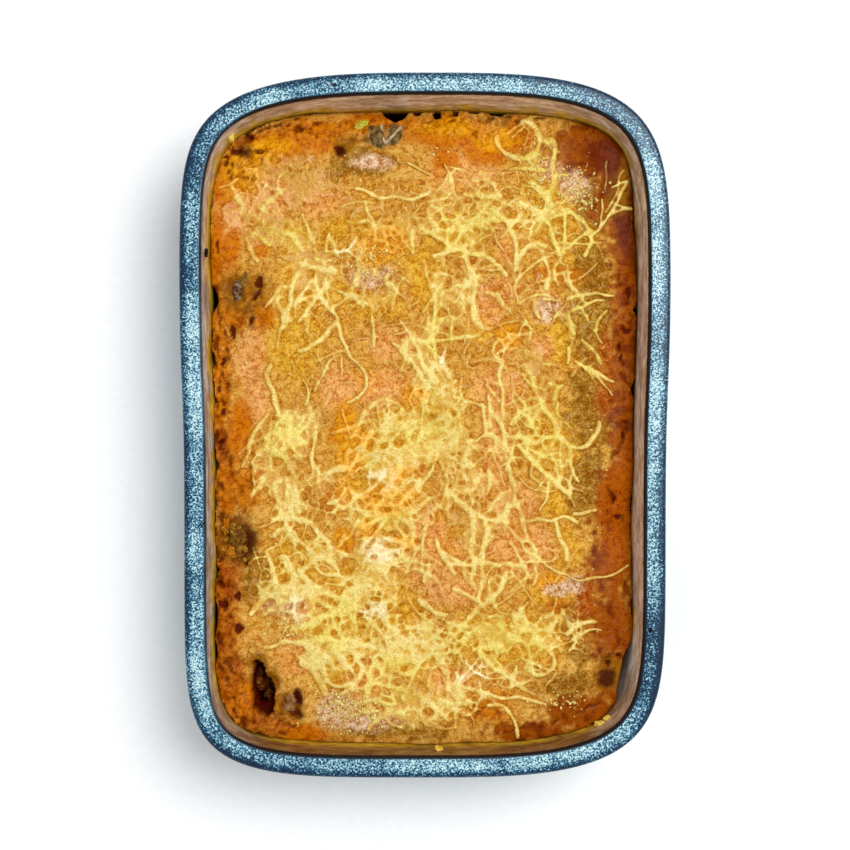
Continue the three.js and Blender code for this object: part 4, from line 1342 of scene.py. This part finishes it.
# The leaf lies open on both sides of its fold. Each flap: name, place, half sizes and turn.
ONION_FLAPS = [
    ("onion_flap_left", (-19.2, 112.4), (3.2, 4.6, 0.9), 0.35),
    ("onion_flap_right", (-12.0, 113.2), (2.6, 4.0, 0.9), -0.4),
]
for name, (x, y), half_sizes, turn in ONION_FLAPS:
    level = pie_surface(np.array([x]), np.array([y]))[0]
    flap = make_lump(name, (x, y, level + 0.3), half_sizes, 71, 0.08, 0.15, (0.8, 3), turn)
    finish_piece(flap, 80)
    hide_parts("onion_slice")

# %% [markdown]
# ## Small things on the dish and the pie
#
# A few crumbs of cheese have stuck to the inner wall, bits of leek lie in the mash, and burnt
# crumbs sit on the rim. Each is a lump of its own.

# %% Crumbs on the wall and the rim
def wall_place(bearing, above, sunk=0.0):
    """A place on the inner wall in one direction, some way above the pie."""
    aim = np.array([math.cos(math.radians(bearing)), math.sin(math.radians(bearing))])
    nearest = int(np.argmax((rim_points / np.linalg.norm(rim_points, axis=1)[:, None]) @ aim))
    edge = rim_points[nearest] - rim_normals[nearest] * wall_inset(PIE_LEVEL)
    z = pie_surface(edge[:1], edge[1:])[0] + above
    place = rim_points[nearest] - rim_normals[nearest] * (wall_inset(z) - sunk)
    return place[0], place[1], z


# Each: name, bearing in degrees, height above the pie, and half sizes.
WALL_CHEESE = [
    ("wall_cheese_1", -59.6, 2.9, (2.6, 1.2, 1.3)),
    ("wall_cheese_2", -57.4, 3.4, (2.0, 1.1, 1.0)),
    ("wall_cheese_3", -87.7, 4.4, (1.7, 1.2, 1.8)),
    ("wall_cheese_4", 124.6, 4.4, (1.2, 2.6, 1.0)),
]
for number, (name, bearing, above, half_sizes) in enumerate(WALL_CHEESE):
    piece = make_lump(name, wall_place(bearing, above), half_sizes, 51 + number, 0.2, 0.1)
    count = len(piece.data.vertices)
    store(piece, "thickness", np.full(count, 0.8))
    store(piece, "lemon", np.ones(count))
    store_colour(piece, "tone", np.tile(linear(TONES["golden"]), (count, 1)))
    finish_piece(piece, 80)

# Each: name, place, half sizes and turn.
LEEK = [
    ("leek_bit_1", (-70.8, 56.4), (1.5, 3.2, 0.9), -0.2),
    ("leek_bit_2", (-24.8, 117.4), (2.6, 1.4, 0.9), 0.4),
]
for name, (x, y), half_sizes, turn in LEEK:
    level = mash_surface(np.array([x]), np.array([y]))[0][0]
    piece = make_lump(name, (x, y, level + 0.3), half_sizes, 55, 0.2, 0.12, (0.4, 2), turn)
    finish_piece(piece, 80)

# Each: name, place on the rim, height and half sizes.
RIM_CRUMBS = [
    ("rim_crumb_1", (-85.6, -37.4), 59.5, (1.0, 1.5, 0.7)),
    ("rim_crumb_2", (-83.8, 65.9), 58.2, (0.7, 1.6, 1.2)),
    ("rim_crumb_3", (86.1, -78.5), 60, (0.6, 0.8, 0.4)),
    ("rim_crumb_4", (-34.6, 130), 60, (0.8, 0.5, 0.4)),
]
for number, (name, (x, y), z, half_sizes) in enumerate(RIM_CRUMBS):
    piece = make_lump(name, (x, y, z), half_sizes, 61 + number, 0.3, 0.15)
    finish_piece(piece, 80)

# %% [markdown]
# ### Sandy crumbs and white flakes
#
# Dry mash is sandy, and loose grains lie all over it, with crisp white flakes of dried cheese in
# a few drifts. There are thousands, so one small solid of each kind is copied to seeded places,
# turned and sized at random, and all copies of a kind are joined into one mesh.

# %% Scattered grains
def scatter(name, places, sizes, seed, flatness, facets=(4, 3)):
    """Copies a small grain to every place, each turned and sized by chance."""
    deselect_all()
    bpy.ops.mesh.primitive_uv_sphere_add(segments=facets[0], ring_count=facets[1], radius=1)
    piece = start_piece(name)
    shape = get_points(piece)
    faces = [list(face.vertices) for face in piece.data.polygons]
    random = np.random.default_rng(seed)
    count = len(places)
    spin = random.normal(size=(count, 3, 3))
    turned = np.linalg.qr(spin)[0]
    turned *= np.sign(np.linalg.det(turned))[:, None, None]
    stretch = random.uniform(0.7, 1.3, (count, 3)) * sizes[:, None]
    stretch[:, 2] *= flatness
    copies = np.einsum("nij,nkj->nki", turned, shape[None] * stretch[:, None]) + places[:, None]
    corners = np.array([corner for face in faces for corner in face])
    lengths = [len(face) for face in faces]
    starts = np.arange(count) * len(shape)
    every = (corners[None] + starts[:, None]).ravel()
    splits = np.cumsum(np.tile(lengths, count))[:-1]
    piece.data.clear_geometry()
    piece.data.from_pydata(copies.reshape(-1, 3), [], [f.tolist() for f in np.split(every, splits)])
    piece.data.update()
    store(piece, "tint", np.repeat(random.random(count), len(shape)))
    return piece


GRAIN_COUNT = 5000
GRAIN_SIZES = (0.22, 0.5)
BUBBLE_SIZES = (0.6, 1.3)
# Each drift and each patch: place, half width, half length and number.
FLAKE_DRIFTS = [
    (59, 90, 9, 9, 260), (43, 97, 6, 10, 160), (-27, -110, 14, 7, 420), (54, -107, 8, 4, 60),
    (-54, -78, 7, 7, 140), (-22, 64, 9, 7, 120), (0, 0, 70, 105, 260), (3, 106, 8, 4, 14),
]
BUBBLE_PATCHES = [(-76.4, -43, 2.4, 6.5, 16), (-72, -50, 2, 3, 5)]

random = np.random.default_rng(5)
x, y = random.uniform(-76, 76, GRAIN_COUNT * 2), random.uniform(-115, 115, GRAIN_COUNT * 2)
height, hole, _, zone = mash_surface(x, y)
dry = sandiness(zone) * (hole < 0.2)
bare = look_up(cheese_field, x, y) < THRESHOLD - SKIRT
good = (random.random(len(x)) < dry) & bare
good &= rim_depth(x, y)[0] - wall_inset(PIE_LEVEL) > 3
places = np.column_stack([x, y, height + 0.1])[good][:GRAIN_COUNT]
grains = scatter("mash_grains", places, random.uniform(*GRAIN_SIZES, len(places)), 6, 0.8)
corners = len(grains.data.vertices) // len(places)
grain_zones = zones(places[:, 0], places[:, 1])
store_colour(grains, "tone", np.repeat(crust_tone(grain_zones), corners, axis=0))
store(grains, "sandy", np.ones(len(grains.data.vertices)))
store(grains, "dusty", np.full(len(grains.data.vertices), 0.15))
finish_piece(grains, 30)

x, y = np.zeros(0), np.zeros(0)
for across, along, wide, long, count in FLAKE_DRIFTS:
    x = np.append(x, across + wide * random.normal(size=count) * 0.6)
    y = np.append(y, along + long * random.normal(size=count) * 0.6)
inside = (rim_depth(x, y)[0] - wall_inset(PIE_LEVEL) > 4) & (pit_ratio(x, y) > 1.6)
inside &= mash_surface(x, y)[1] < 0.3
x, y = x[inside], y[inside]
level = np.maximum(mash_surface(x, y)[0], look_up(cheese_top, x, y))
flake_sizes = 0.25 + 0.65 * random.random(len(x)) ** 2
flakes = scatter("cheese_flakes", np.column_stack([x, y, level + 0.15]), flake_sizes, 8, 0.5)
count = len(flakes.data.vertices)
store(flakes, "thickness", np.full(count, 1.4))
store_colour(flakes, "tone", np.tile(linear(TONES["dry"]), (count, 1)))
finish_piece(flakes, 30)

x, y = np.zeros(0), np.zeros(0)
for across, along, wide, long, count in BUBBLE_PATCHES:
    x = np.append(x, across + wide * random.uniform(-1, 1, count))
    y = np.append(y, along + long * random.uniform(-1, 1, count))
level = mash_surface(x, y)[0]
bubble_sizes = random.uniform(*BUBBLE_SIZES, len(x))
bubbles = scatter("gravy_bubbles", np.column_stack([x, y, level]), bubble_sizes, 9, 0.8, (20, 12))
finish_piece(bubbles, 80)

# %% [markdown]
# ## Colours and nodes
#
# Each colour is written as it looks on a screen and turned into linear light, which is what the
# shaders count in. One small function adds a node with its settings and its links. Patterns are
# sized in millimetres, from the size of the real grain.


# %% Material helpers
def add(tree, kind, inputs=(), stops=(), **settings):
    """Adds a node and returns it. An input is a value, or the socket to link it to."""
    node = tree.nodes.new("ShaderNode" + kind)
    for key, value in settings.items():
        setattr(node, key, value)
    for _ in range(len(stops) - 2):
        node.color_ramp.elements.new(1)
    for number, (place, colour) in enumerate(stops):
        node.color_ramp.elements[number].position = place
        node.color_ramp.elements[number].color = linear(colour)
    for key, value in dict(inputs).items():
        if isinstance(value, bpy.types.NodeSocket):
            tree.links.new(value, node.inputs[key])
        else:
            node.inputs[key].default_value = value
    return node


def start_material(name):
    """A material without nodes, its tree, and the place coordinates that patterns are laid on."""
    material = bpy.data.materials.new(name)
    material.use_nodes = True
    tree = material.node_tree
    tree.nodes.clear()
    return material, tree, add(tree, "TexCoord").outputs["Object"]


def finish_material(tree, inputs):
    shader = add(tree, "BsdfPrincipled", inputs)
    add(tree, "OutputMaterial", {"Surface": shader.outputs[0]})


def read_masks(tree, *names):
    """The values stored with the piece's points, by name."""
    return {name: add(tree, "Attribute", attribute_name=name).outputs["Fac"] for name in names}


def patterns(tree, place, **sizes):
    """Noise patterns, each with the width of its lumps in millimetres."""
    made = {}
    for name, size in sizes.items():
        settings = {"Vector": place, "Scale": 1 / (size * MM), "Detail": 3.0, "Roughness": 0.6}
        made[name] = add(tree, "TexNoise", settings).outputs["Fac"]
    return made


def coat(tree, base, *layers):
    """Lays colours over each other, each through its mask."""
    for mask, colour in layers:
        base = add(tree, "Mix", {0: mask, 6: base, 7: colour}, data_type="RGBA").outputs[2]
    return base


def scaled(tree, value, amount):
    """A mask made weaker or stronger."""
    return add(tree, "Math", {0: value, 1: amount}, operation="MULTIPLY").outputs[0]


def sharpened(tree, value, low, high):
    """The part of a pattern between two levels, as a mask."""
    settings = {"Value": value, "From Min": low, "From Max": high}
    return add(tree, "MapRange", settings, interpolation_type="SMOOTHSTEP").outputs[0]


def tinted(tree, amount, colour, tint):
    """The colour multiplied by a tint, through a mask."""
    settings = {0: amount, 6: colour, 7: linear(tint)}
    return add(tree, "Mix", settings, data_type="RGBA", blend_type="MULTIPLY").outputs[2]


def frayed(tree, mask, pattern, amount=0.5, low=0.35, high=0.65):
    """The mask with its soft edge broken up by a pattern."""
    push = add(tree, "Math", {0: pattern, 1: amount, 2: -amount / 2}, operation="MULTIPLY_ADD")
    moved = add(tree, "Math", {0: mask, 1: push.outputs[0]}, operation="ADD")
    settings = {"Value": moved.outputs[0], "From Min": low, "From Max": high}
    return add(tree, "MapRange", settings, interpolation_type="SMOOTHSTEP").outputs[0]


def dress(material, *names):
    """Gives pieces their material."""
    for name in names:
        mesh = bpy.data.objects[name].data
        mesh.materials.clear()
        mesh.materials.append(material)
    print(f"{material.name}: {len(names)} pieces")


# %% [markdown]
# ### Glazed stoneware
#
# Stoneware is clay fired until it is dense. The rim has a reactive blue glaze: crystals of a pale
# glaze float in a dark one, so it is speckled finer than a millimetre, and it drifts from pale to
# dark over a few centimetres. Where the glaze runs off an edge the dark body shows. The inside
# has a plain beige glaze. Both are glassy, with the IOR of glass. Their specular level is low,
# because the mirrored pale room would wash out the blue.


# %% Stoneware
def glazed_stoneware():
    material, tree, place = start_material("glazed_stoneware")
    mask = read_masks(tree, "navy", "black", "inside", "bare", "fat", "fired", "below")
    wall = add(tree, "Attribute", attribute_name="wall").outputs["Color"]
    noise_of = patterns(tree, place, speck=0.65, drift=22)
    flat = add(tree, "Mapping", {"Vector": place, "Scale": (0.35, 0.35, 1.2)}).outputs[0]
    noise_of.update(patterns(tree, flat, streak=1.6, blot=5))
    black = frayed(tree, mask["black"], noise_of["speck"], 1.6, 0.3, 0.8)
    drift = add(tree, "Math", {0: noise_of["drift"], 1: 0.35}, operation="MULTIPLY")
    both = add(tree, "Math", {0: noise_of["speck"], 1: drift.outputs[0]}, operation="ADD")
    for name, shift in (("fired", -0.09), ("navy", -0.14), ("black", -0.06)):
        darker = {0: mask[name], 1: shift, 2: both.outputs[0]}
        both = add(tree, "Math", darker, operation="MULTIPLY_ADD")
    blue_stops = [(0.56, "#06243c"), (0.63, "#2a6888"), (0.69, "#74a8ba"), (0.77, "#c8e2e0")]
    blue = add(tree, "ValToRGB", {"Fac": both.outputs[0]}, blue_stops).outputs[0]
    beige = tinted(tree, sharpened(tree, noise_of["blot"], 0.55, 0.4), wall, "#d6cac0")
    beige = tinted(tree, sharpened(tree, noise_of["streak"], 0.58, 0.44), beige, "#dccebe")
    fat_stops = [(0.3, "#9a7014"), (0.7, "#ecc434")]
    fat = add(tree, "ValToRGB", {"Fac": noise_of["streak"]}, fat_stops).outputs[0]
    clay_stops = [(0.3, "#8a6a4c"), (0.7, "#b09070")]
    clay = add(tree, "ValToRGB", {"Fac": noise_of["speck"]}, clay_stops).outputs[0]
    colour = coat(
        tree,
        blue,
        (mask["inside"], beige),
        (black, linear("#0a0c12")),
        (mask["fat"], fat),
        # painted shade in the gap below the crust
        (mask["below"], linear("#140d08")),
        (mask["bare"], clay),
    )
    roughness = add(tree, "MapRange", {"Value": mask["bare"], "To Min": 0.32, "To Max": 0.85})
    bump_settings = {"Height": noise_of["speck"], "Strength": 0.25, "Distance": 0.1 * MM}
    inputs = {
        "Base Color": colour,
        "Roughness": roughness.outputs[0],
        "IOR": 1.5,
        "Specular IOR Level": 0.25,
        "Normal": add(tree, "Bump", bump_settings).outputs[0],
    }
    finish_material(tree, inputs)
    return material


dress(glazed_stoneware(), "stoneware_dish")

# %% [markdown]
# ### Sweet potato mash
#
# Boiled sweet potato is mashed, spread and baked. Its dry crust scatters light like damp sand.
# Its colour is the crust's tone with painted shade, darker and stronger in colour, between the
# grains, a painted highlight on their tips and a few painted glints. A wet edge or a brown skin has
# hardly any painted pale tips, and it is smoother and shinier. The grains are about a millimetre
# wide.

# %% Mash
PAINTED_GRAIN_SHADE = "#cc9c4c"
PAINTED_GRAIN_HIGHLIGHT = "#f6d284"
DUST = "#f4e4d4"
PAINTED_WET_GLINT = "#eea030"
PAINTED_HOLE_SHADE = "#4c0e00"


def baked_mash():
    material, tree, place = start_material("baked_sweet_potato_mash")
    mask = read_masks(tree, "sandy", "dusty", "hole", "oil", "fried_and_shaded", "glint")
    tone = add(tree, "Attribute", attribute_name="tone").outputs["Color"]
    noise_of = patterns(tree, place, grain=0.8, crumb=2.4, spark=0.5, hue=11)
    fine = scaled(tree, noise_of["grain"], 0.5)
    mixed = add(tree, "Math", {0: noise_of["crumb"], 1: 0.5, 2: fine}, operation="MULTIPLY_ADD")
    mixed = mixed.outputs[0]
    oily = sharpened(tree, mask["oil"], 0.15, 0.8)
    colour = tinted(tree, sharpened(tree, noise_of["hue"], 0.45, 0.68), tone, "#f8ecb4")
    colour = coat(tree, colour, (scaled(tree, oily, 0.5), linear("#d8a632")))
    # Darker golden brown beside the cheese: fat-fried crust and painted shade.
    colour = tinted(tree, scaled(tree, mask["fried_and_shaded"], 0.45), colour, "#d0a044")
    # Painted shade between the grains and a painted highlight on their tips, from the same pattern as
    # the bump.
    between = tinted(tree, scaled(tree, sharpened(tree, mixed, 0.54, 0.38), 0.9), colour, PAINTED_GRAIN_SHADE)
    tips = sharpened(tree, mixed, 0.5, 0.66)
    painted_glints = scaled(tree, sharpened(tree, noise_of["spark"], 0.62, 0.7), 0.42)
    painted_glints = add(tree, "Math", {0: painted_glints, 1: mask["sandy"]}, operation="MULTIPLY").outputs[0]
    painted_tip_highlight = add(tree, "Math", {0: tips, 1: mask["sandy"]}, operation="MULTIPLY").outputs[0]
    dust = {0: sharpened(tree, mixed, 0.44, 0.6), 1: mask["dusty"]}
    dust = add(tree, "Math", dust, operation="MULTIPLY")
    # Over it: the painted tip highlight, flour dust, painted glints, the painted glint on wet lumps,
    # and painted shade in holes and creases.
    colour = coat(
        tree,
        between,
        (scaled(tree, painted_tip_highlight, 0.36), linear(PAINTED_GRAIN_HIGHLIGHT)),
        (scaled(tree, dust.outputs[0], 0.4), linear(DUST)),
        (painted_glints, linear(PAINTED_GRAIN_HIGHLIGHT)),
        (scaled(tree, mask["glint"], 0.22), linear(PAINTED_WET_GLINT)),
        (mask["hole"], linear(PAINTED_HOLE_SHADE)),
    )
    roughness = add(tree, "MapRange", {"Value": mask["sandy"], "To Min": 0.32, "To Max": 0.75})
    bump_settings = {"Height": mixed, "Strength": 0.45, "Distance": 0.4 * MM}
    inputs = {
        "Base Color": colour,
        "Roughness": roughness.outputs[0],
        "IOR": 1.4,
        "Specular IOR Level": 0.05,
        "Normal": add(tree, "Bump", bump_settings).outputs[0],
    }
    finish_material(tree, inputs)
    return material


dress(baked_mash(), "mash_topping_crust", "mash_grains", "mash_blob_side", "mash_blob_upper")

# %% [markdown]
# ### Melted cheese
#
# Grated hard cheese has melted and set again. A thin film lets the crust's tone shine through,
# and a thick strand is a pale milky yellow, so the colour goes from the tone to the cheese's own
# with the thickness. It has a soft greasy gloss, and light goes a little way into it, which is
# what the subsurface weight is for.


# %% Cheese
CHEESE_COLOURS = {
    "cream": ("#d69e1c", "#dab03a", "#e6d078"),
    "milk_and_highlight": ("#dcb04c", "#e4cc80", "#f0e2ac"),
    "lemon": ("#cea020", "#d4ae30", "#e2ce62"),
}


def melted_cheese():
    material, tree, place = start_material("melted_cheese")
    mask = read_masks(tree, "thickness", "lemon", "milk_and_highlight", "amber", "tint")
    tone = add(tree, "Attribute", attribute_name="tone").outputs["Color"]
    noise_of = patterns(tree, place, fine=0.9, blot=2.8, hue=9)
    uneven = add(tree, "Math", {0: noise_of["blot"], 1: 0.8, 2: -0.45}, operation="MULTIPLY_ADD")
    tint = {0: mask["tint"], 1: 0.14, 2: uneven.outputs[0]}
    tint = add(tree, "Math", tint, operation="MULTIPLY_ADD")
    depth = add(tree, "Math", {0: mask["thickness"], 1: tint.outputs[0]}, operation="ADD").outputs[0]
    colours = {}
    for name, (thin, thick, thickest) in CHEESE_COLOURS.items():
        stops = [(0.1, thin), (0.55, thick), (1.0, thickest)]
        colours[name] = add(tree, "ValToRGB", {"Fac": depth}, stops).outputs[0]
    lemony = frayed(tree, mask["lemon"], noise_of["hue"], 0.6, 0.2, 0.8)
    # Thick white cheese, partly a painted highlight.
    milk_and_highlight_mask = frayed(tree, mask["milk_and_highlight"], noise_of["hue"], 0.6, 0.2, 0.8)
    own = coat(tree, colours["cream"], (lemony, colours["lemon"]), (milk_and_highlight_mask, colours["milk_and_highlight"]))
    own = coat(tree, own, (scaled(tree, mask["amber"], 0.7), linear("#f6be48")))
    cover = add(tree, "Math", {0: depth, 1: 1.1}, operation="MULTIPLY", use_clamp=True)
    colour = coat(tree, tone, (cover.outputs[0], own))
    # Painted shade: thin lines along wrinkles in the cheese are painted darker, as the shade in their
    # valleys.
    wrinkle = {"Vector": place, "Scale": 1 / (2.2 * MM), "Detail": 2.0, "Distortion": 1.6}
    wrinkle = add(tree, "TexNoise", wrinkle).outputs["Fac"]
    painted_wrinkle_shade = add(tree, "Math", {0: wrinkle, 1: 0.5, 2: 0.035}, operation="COMPARE").outputs[0]
    colour = tinted(tree, scaled(tree, painted_wrinkle_shade, 0.55), colour, "#d0a458")
    bump_settings = {"Height": noise_of["fine"], "Strength": 0.8, "Distance": 0.4 * MM}
    inputs = {
        "Base Color": colour,
        "Roughness": 0.24,
        "IOR": 1.45,
        "Specular IOR Level": 0.45,
        "Subsurface Weight": 0.12,
        "Subsurface Radius": (1.0, 0.7, 0.3),
        "Subsurface Scale": 1.0 * MM,
        "Normal": add(tree, "Bump", bump_settings).outputs[0],
    }
    finish_material(tree, inputs)
    return material


sheets = [f"melted_cheese_{slab + 1}" for slab in range(SLABS)]
dress(melted_cheese(), *sheets, *[row[0] for row in WALL_CHEESE], "cheese_flakes")

# %% [markdown]
# ### Duck, gravy, onion and leek
#
# Roast duck is grey-brown, or golden brown where fat has glazed it, with dark gravy in its
# hollows. The filling is the same meat under a skin of dark glossy gravy. Stewed onion is glassy
# and has taken the gravy's colour. One bit of leek is brown and the other a yellowish green. They
# share one recipe: three colours along a blotchy pattern, and a gloss.

# %% Meat and vegetables
# Each: dark, middle and pale colour, the width of its blotches in millimetres, and roughness.
RECIPES = {
    "duck_gravy": (("#1c0502", "#481406", "#8c4414"), 2.4, 0.22),
    "glazed_duck": (("#2c1002", "#6c420c", "#a88030"), 1.8, 0.45),
    "roast_duck": (("#22120a", "#6e5038", "#b09a80"), 1.8, 0.42),
    "braised_crust": (("#48200c", "#84562e", "#a88860"), 2.4, 0.42),
    "stewed_onion": (("#6a563a", "#a68e68", "#d0be9a"), 3.0, 0.25),
    "gravy_onion": (("#2e2008", "#664c24", "#947a4c"), 2.0, 0.3),
    "stewed_leek": (("#3c2408", "#785214", "#a47c34"), 1.6, 0.35),
    "pale_leek": (("#857812", "#b4a62c", "#d2c860"), 1.6, 0.35),
    "braised_duck": (("#3c1606", "#7c3e12", "#bc782e"), 1.8, 0.3),
    "gravy_bubbles": (("#6a400a", "#9c6a14", "#c49434"), 1.2, 0.25),
    "burnt_crumb": (("#0c0604", "#20120a", "#4a3020"), 1.2, 0.6),
}


def moist_food(name):
    (dark, middle, pale), size, roughness = RECIPES[name]
    material, tree, place = start_material(name)
    noise_of = patterns(tree, place, blot=size, fine=size / 3)
    fine = add(tree, "Math", {0: noise_of["fine"], 1: 0.4}, operation="MULTIPLY").outputs[0]
    mixed = add(tree, "Math", {0: noise_of["blot"], 1: 0.6, 2: fine}, operation="MULTIPLY_ADD")
    stops = [(0.36, dark), (0.5, middle), (0.66, pale)]
    colour = add(tree, "ValToRGB", {"Fac": mixed.outputs[0]}, stops).outputs[0]
    bump_settings = {"Height": mixed.outputs[0], "Strength": 0.5, "Distance": 0.4 * MM}
    inputs = {
        "Base Color": colour,
        "Roughness": roughness,
        "IOR": 1.4,
        "Specular IOR Level": 0.07,
        "Normal": add(tree, "Bump", bump_settings).outputs[0],
    }
    finish_material(tree, inputs)
    return material


dress(moist_food("duck_gravy"), "duck_filling")
dress(moist_food("braised_duck"), *[row[0] for row in PIT_LUMPS])
dress(moist_food("gravy_bubbles"), "gravy_bubbles")
dress(moist_food("roast_duck"), "roast_duck_piece_back")
dress(moist_food("braised_crust"), "roast_duck_piece_front")
dress(moist_food("glazed_duck"), "roast_duck_piece_side")
dress(moist_food("stewed_onion"), "onion_leaf")
dress(moist_food("gravy_onion"), *[row[0] for row in ONION_FLAPS])
dress(moist_food("stewed_leek"), "leek_bit_1")
dress(moist_food("pale_leek"), "leek_bit_2")
dress(moist_food("burnt_crumb"), *[row[0] for row in RIM_CRUMBS])

# %% [markdown]
# ## Floor, light and camera
#
# The pie stands on a plain white floor in a pale room. One large soft lamp stands to the right
# beyond the far end, as the shade on the inner walls shows. The camera looks straight down.

# %% Floor
deselect_all()
bpy.ops.mesh.primitive_plane_add(size=4)
floor = start_piece("studio_floor")


def matte_board():
    material, tree, place = start_material("matte_white_board")
    fibre = patterns(tree, place, fibre=3)["fibre"]
    colour = add(tree, "ValToRGB", {"Fac": fibre}, [(0.3, "#f2f2f1"), (0.7, "#f6f6f5")])
    finish_material(tree, {"Base Color": colour.outputs[0], "Roughness": 0.9, "IOR": 1.45})
    return material


dress(matte_board(), "studio_floor")

# %% Light
ROOM_STRENGTH = 0.66
LAMP_PLACE = Vector((0.52, 0.38, 1.5))
LAMP_SIZE = 0.8
LAMP_POWER = 18.5

world = bpy.data.worlds.new("pale_room")
bpy.context.scene.world = world
world.use_nodes = True
world.node_tree.nodes.clear()
room = {"Color": linear("#fbfcff"), "Strength": ROOM_STRENGTH}
room_light = add(world.node_tree, "Background", room)
add(world.node_tree, "OutputWorld", {"Surface": room_light.outputs[0]})

bpy.ops.object.light_add(type="AREA", location=LAMP_PLACE)
lamp = bpy.context.object
lamp.name = "soft_lamp"
lamp.data.shape = "DISK"
lamp.data.size = LAMP_SIZE
lamp.data.energy = LAMP_POWER
lamp.rotation_euler = (-LAMP_PLACE).to_track_quat("-Z", "Y").to_euler()

# %% Camera
CAMERA_HEIGHT = 0.66
LENS = 66.54
SENSOR_WIDTH = 36

bpy.ops.object.camera_add(location=(0, 0, CAMERA_HEIGHT), rotation=(0, 0, 0))
camera = bpy.context.object
camera.data.lens = LENS
camera.data.sensor_width = SENSOR_WIDTH
camera.data.clip_end = 10
bpy.context.scene.camera = camera
bpy.context.scene.view_settings.view_transform = "Standard"
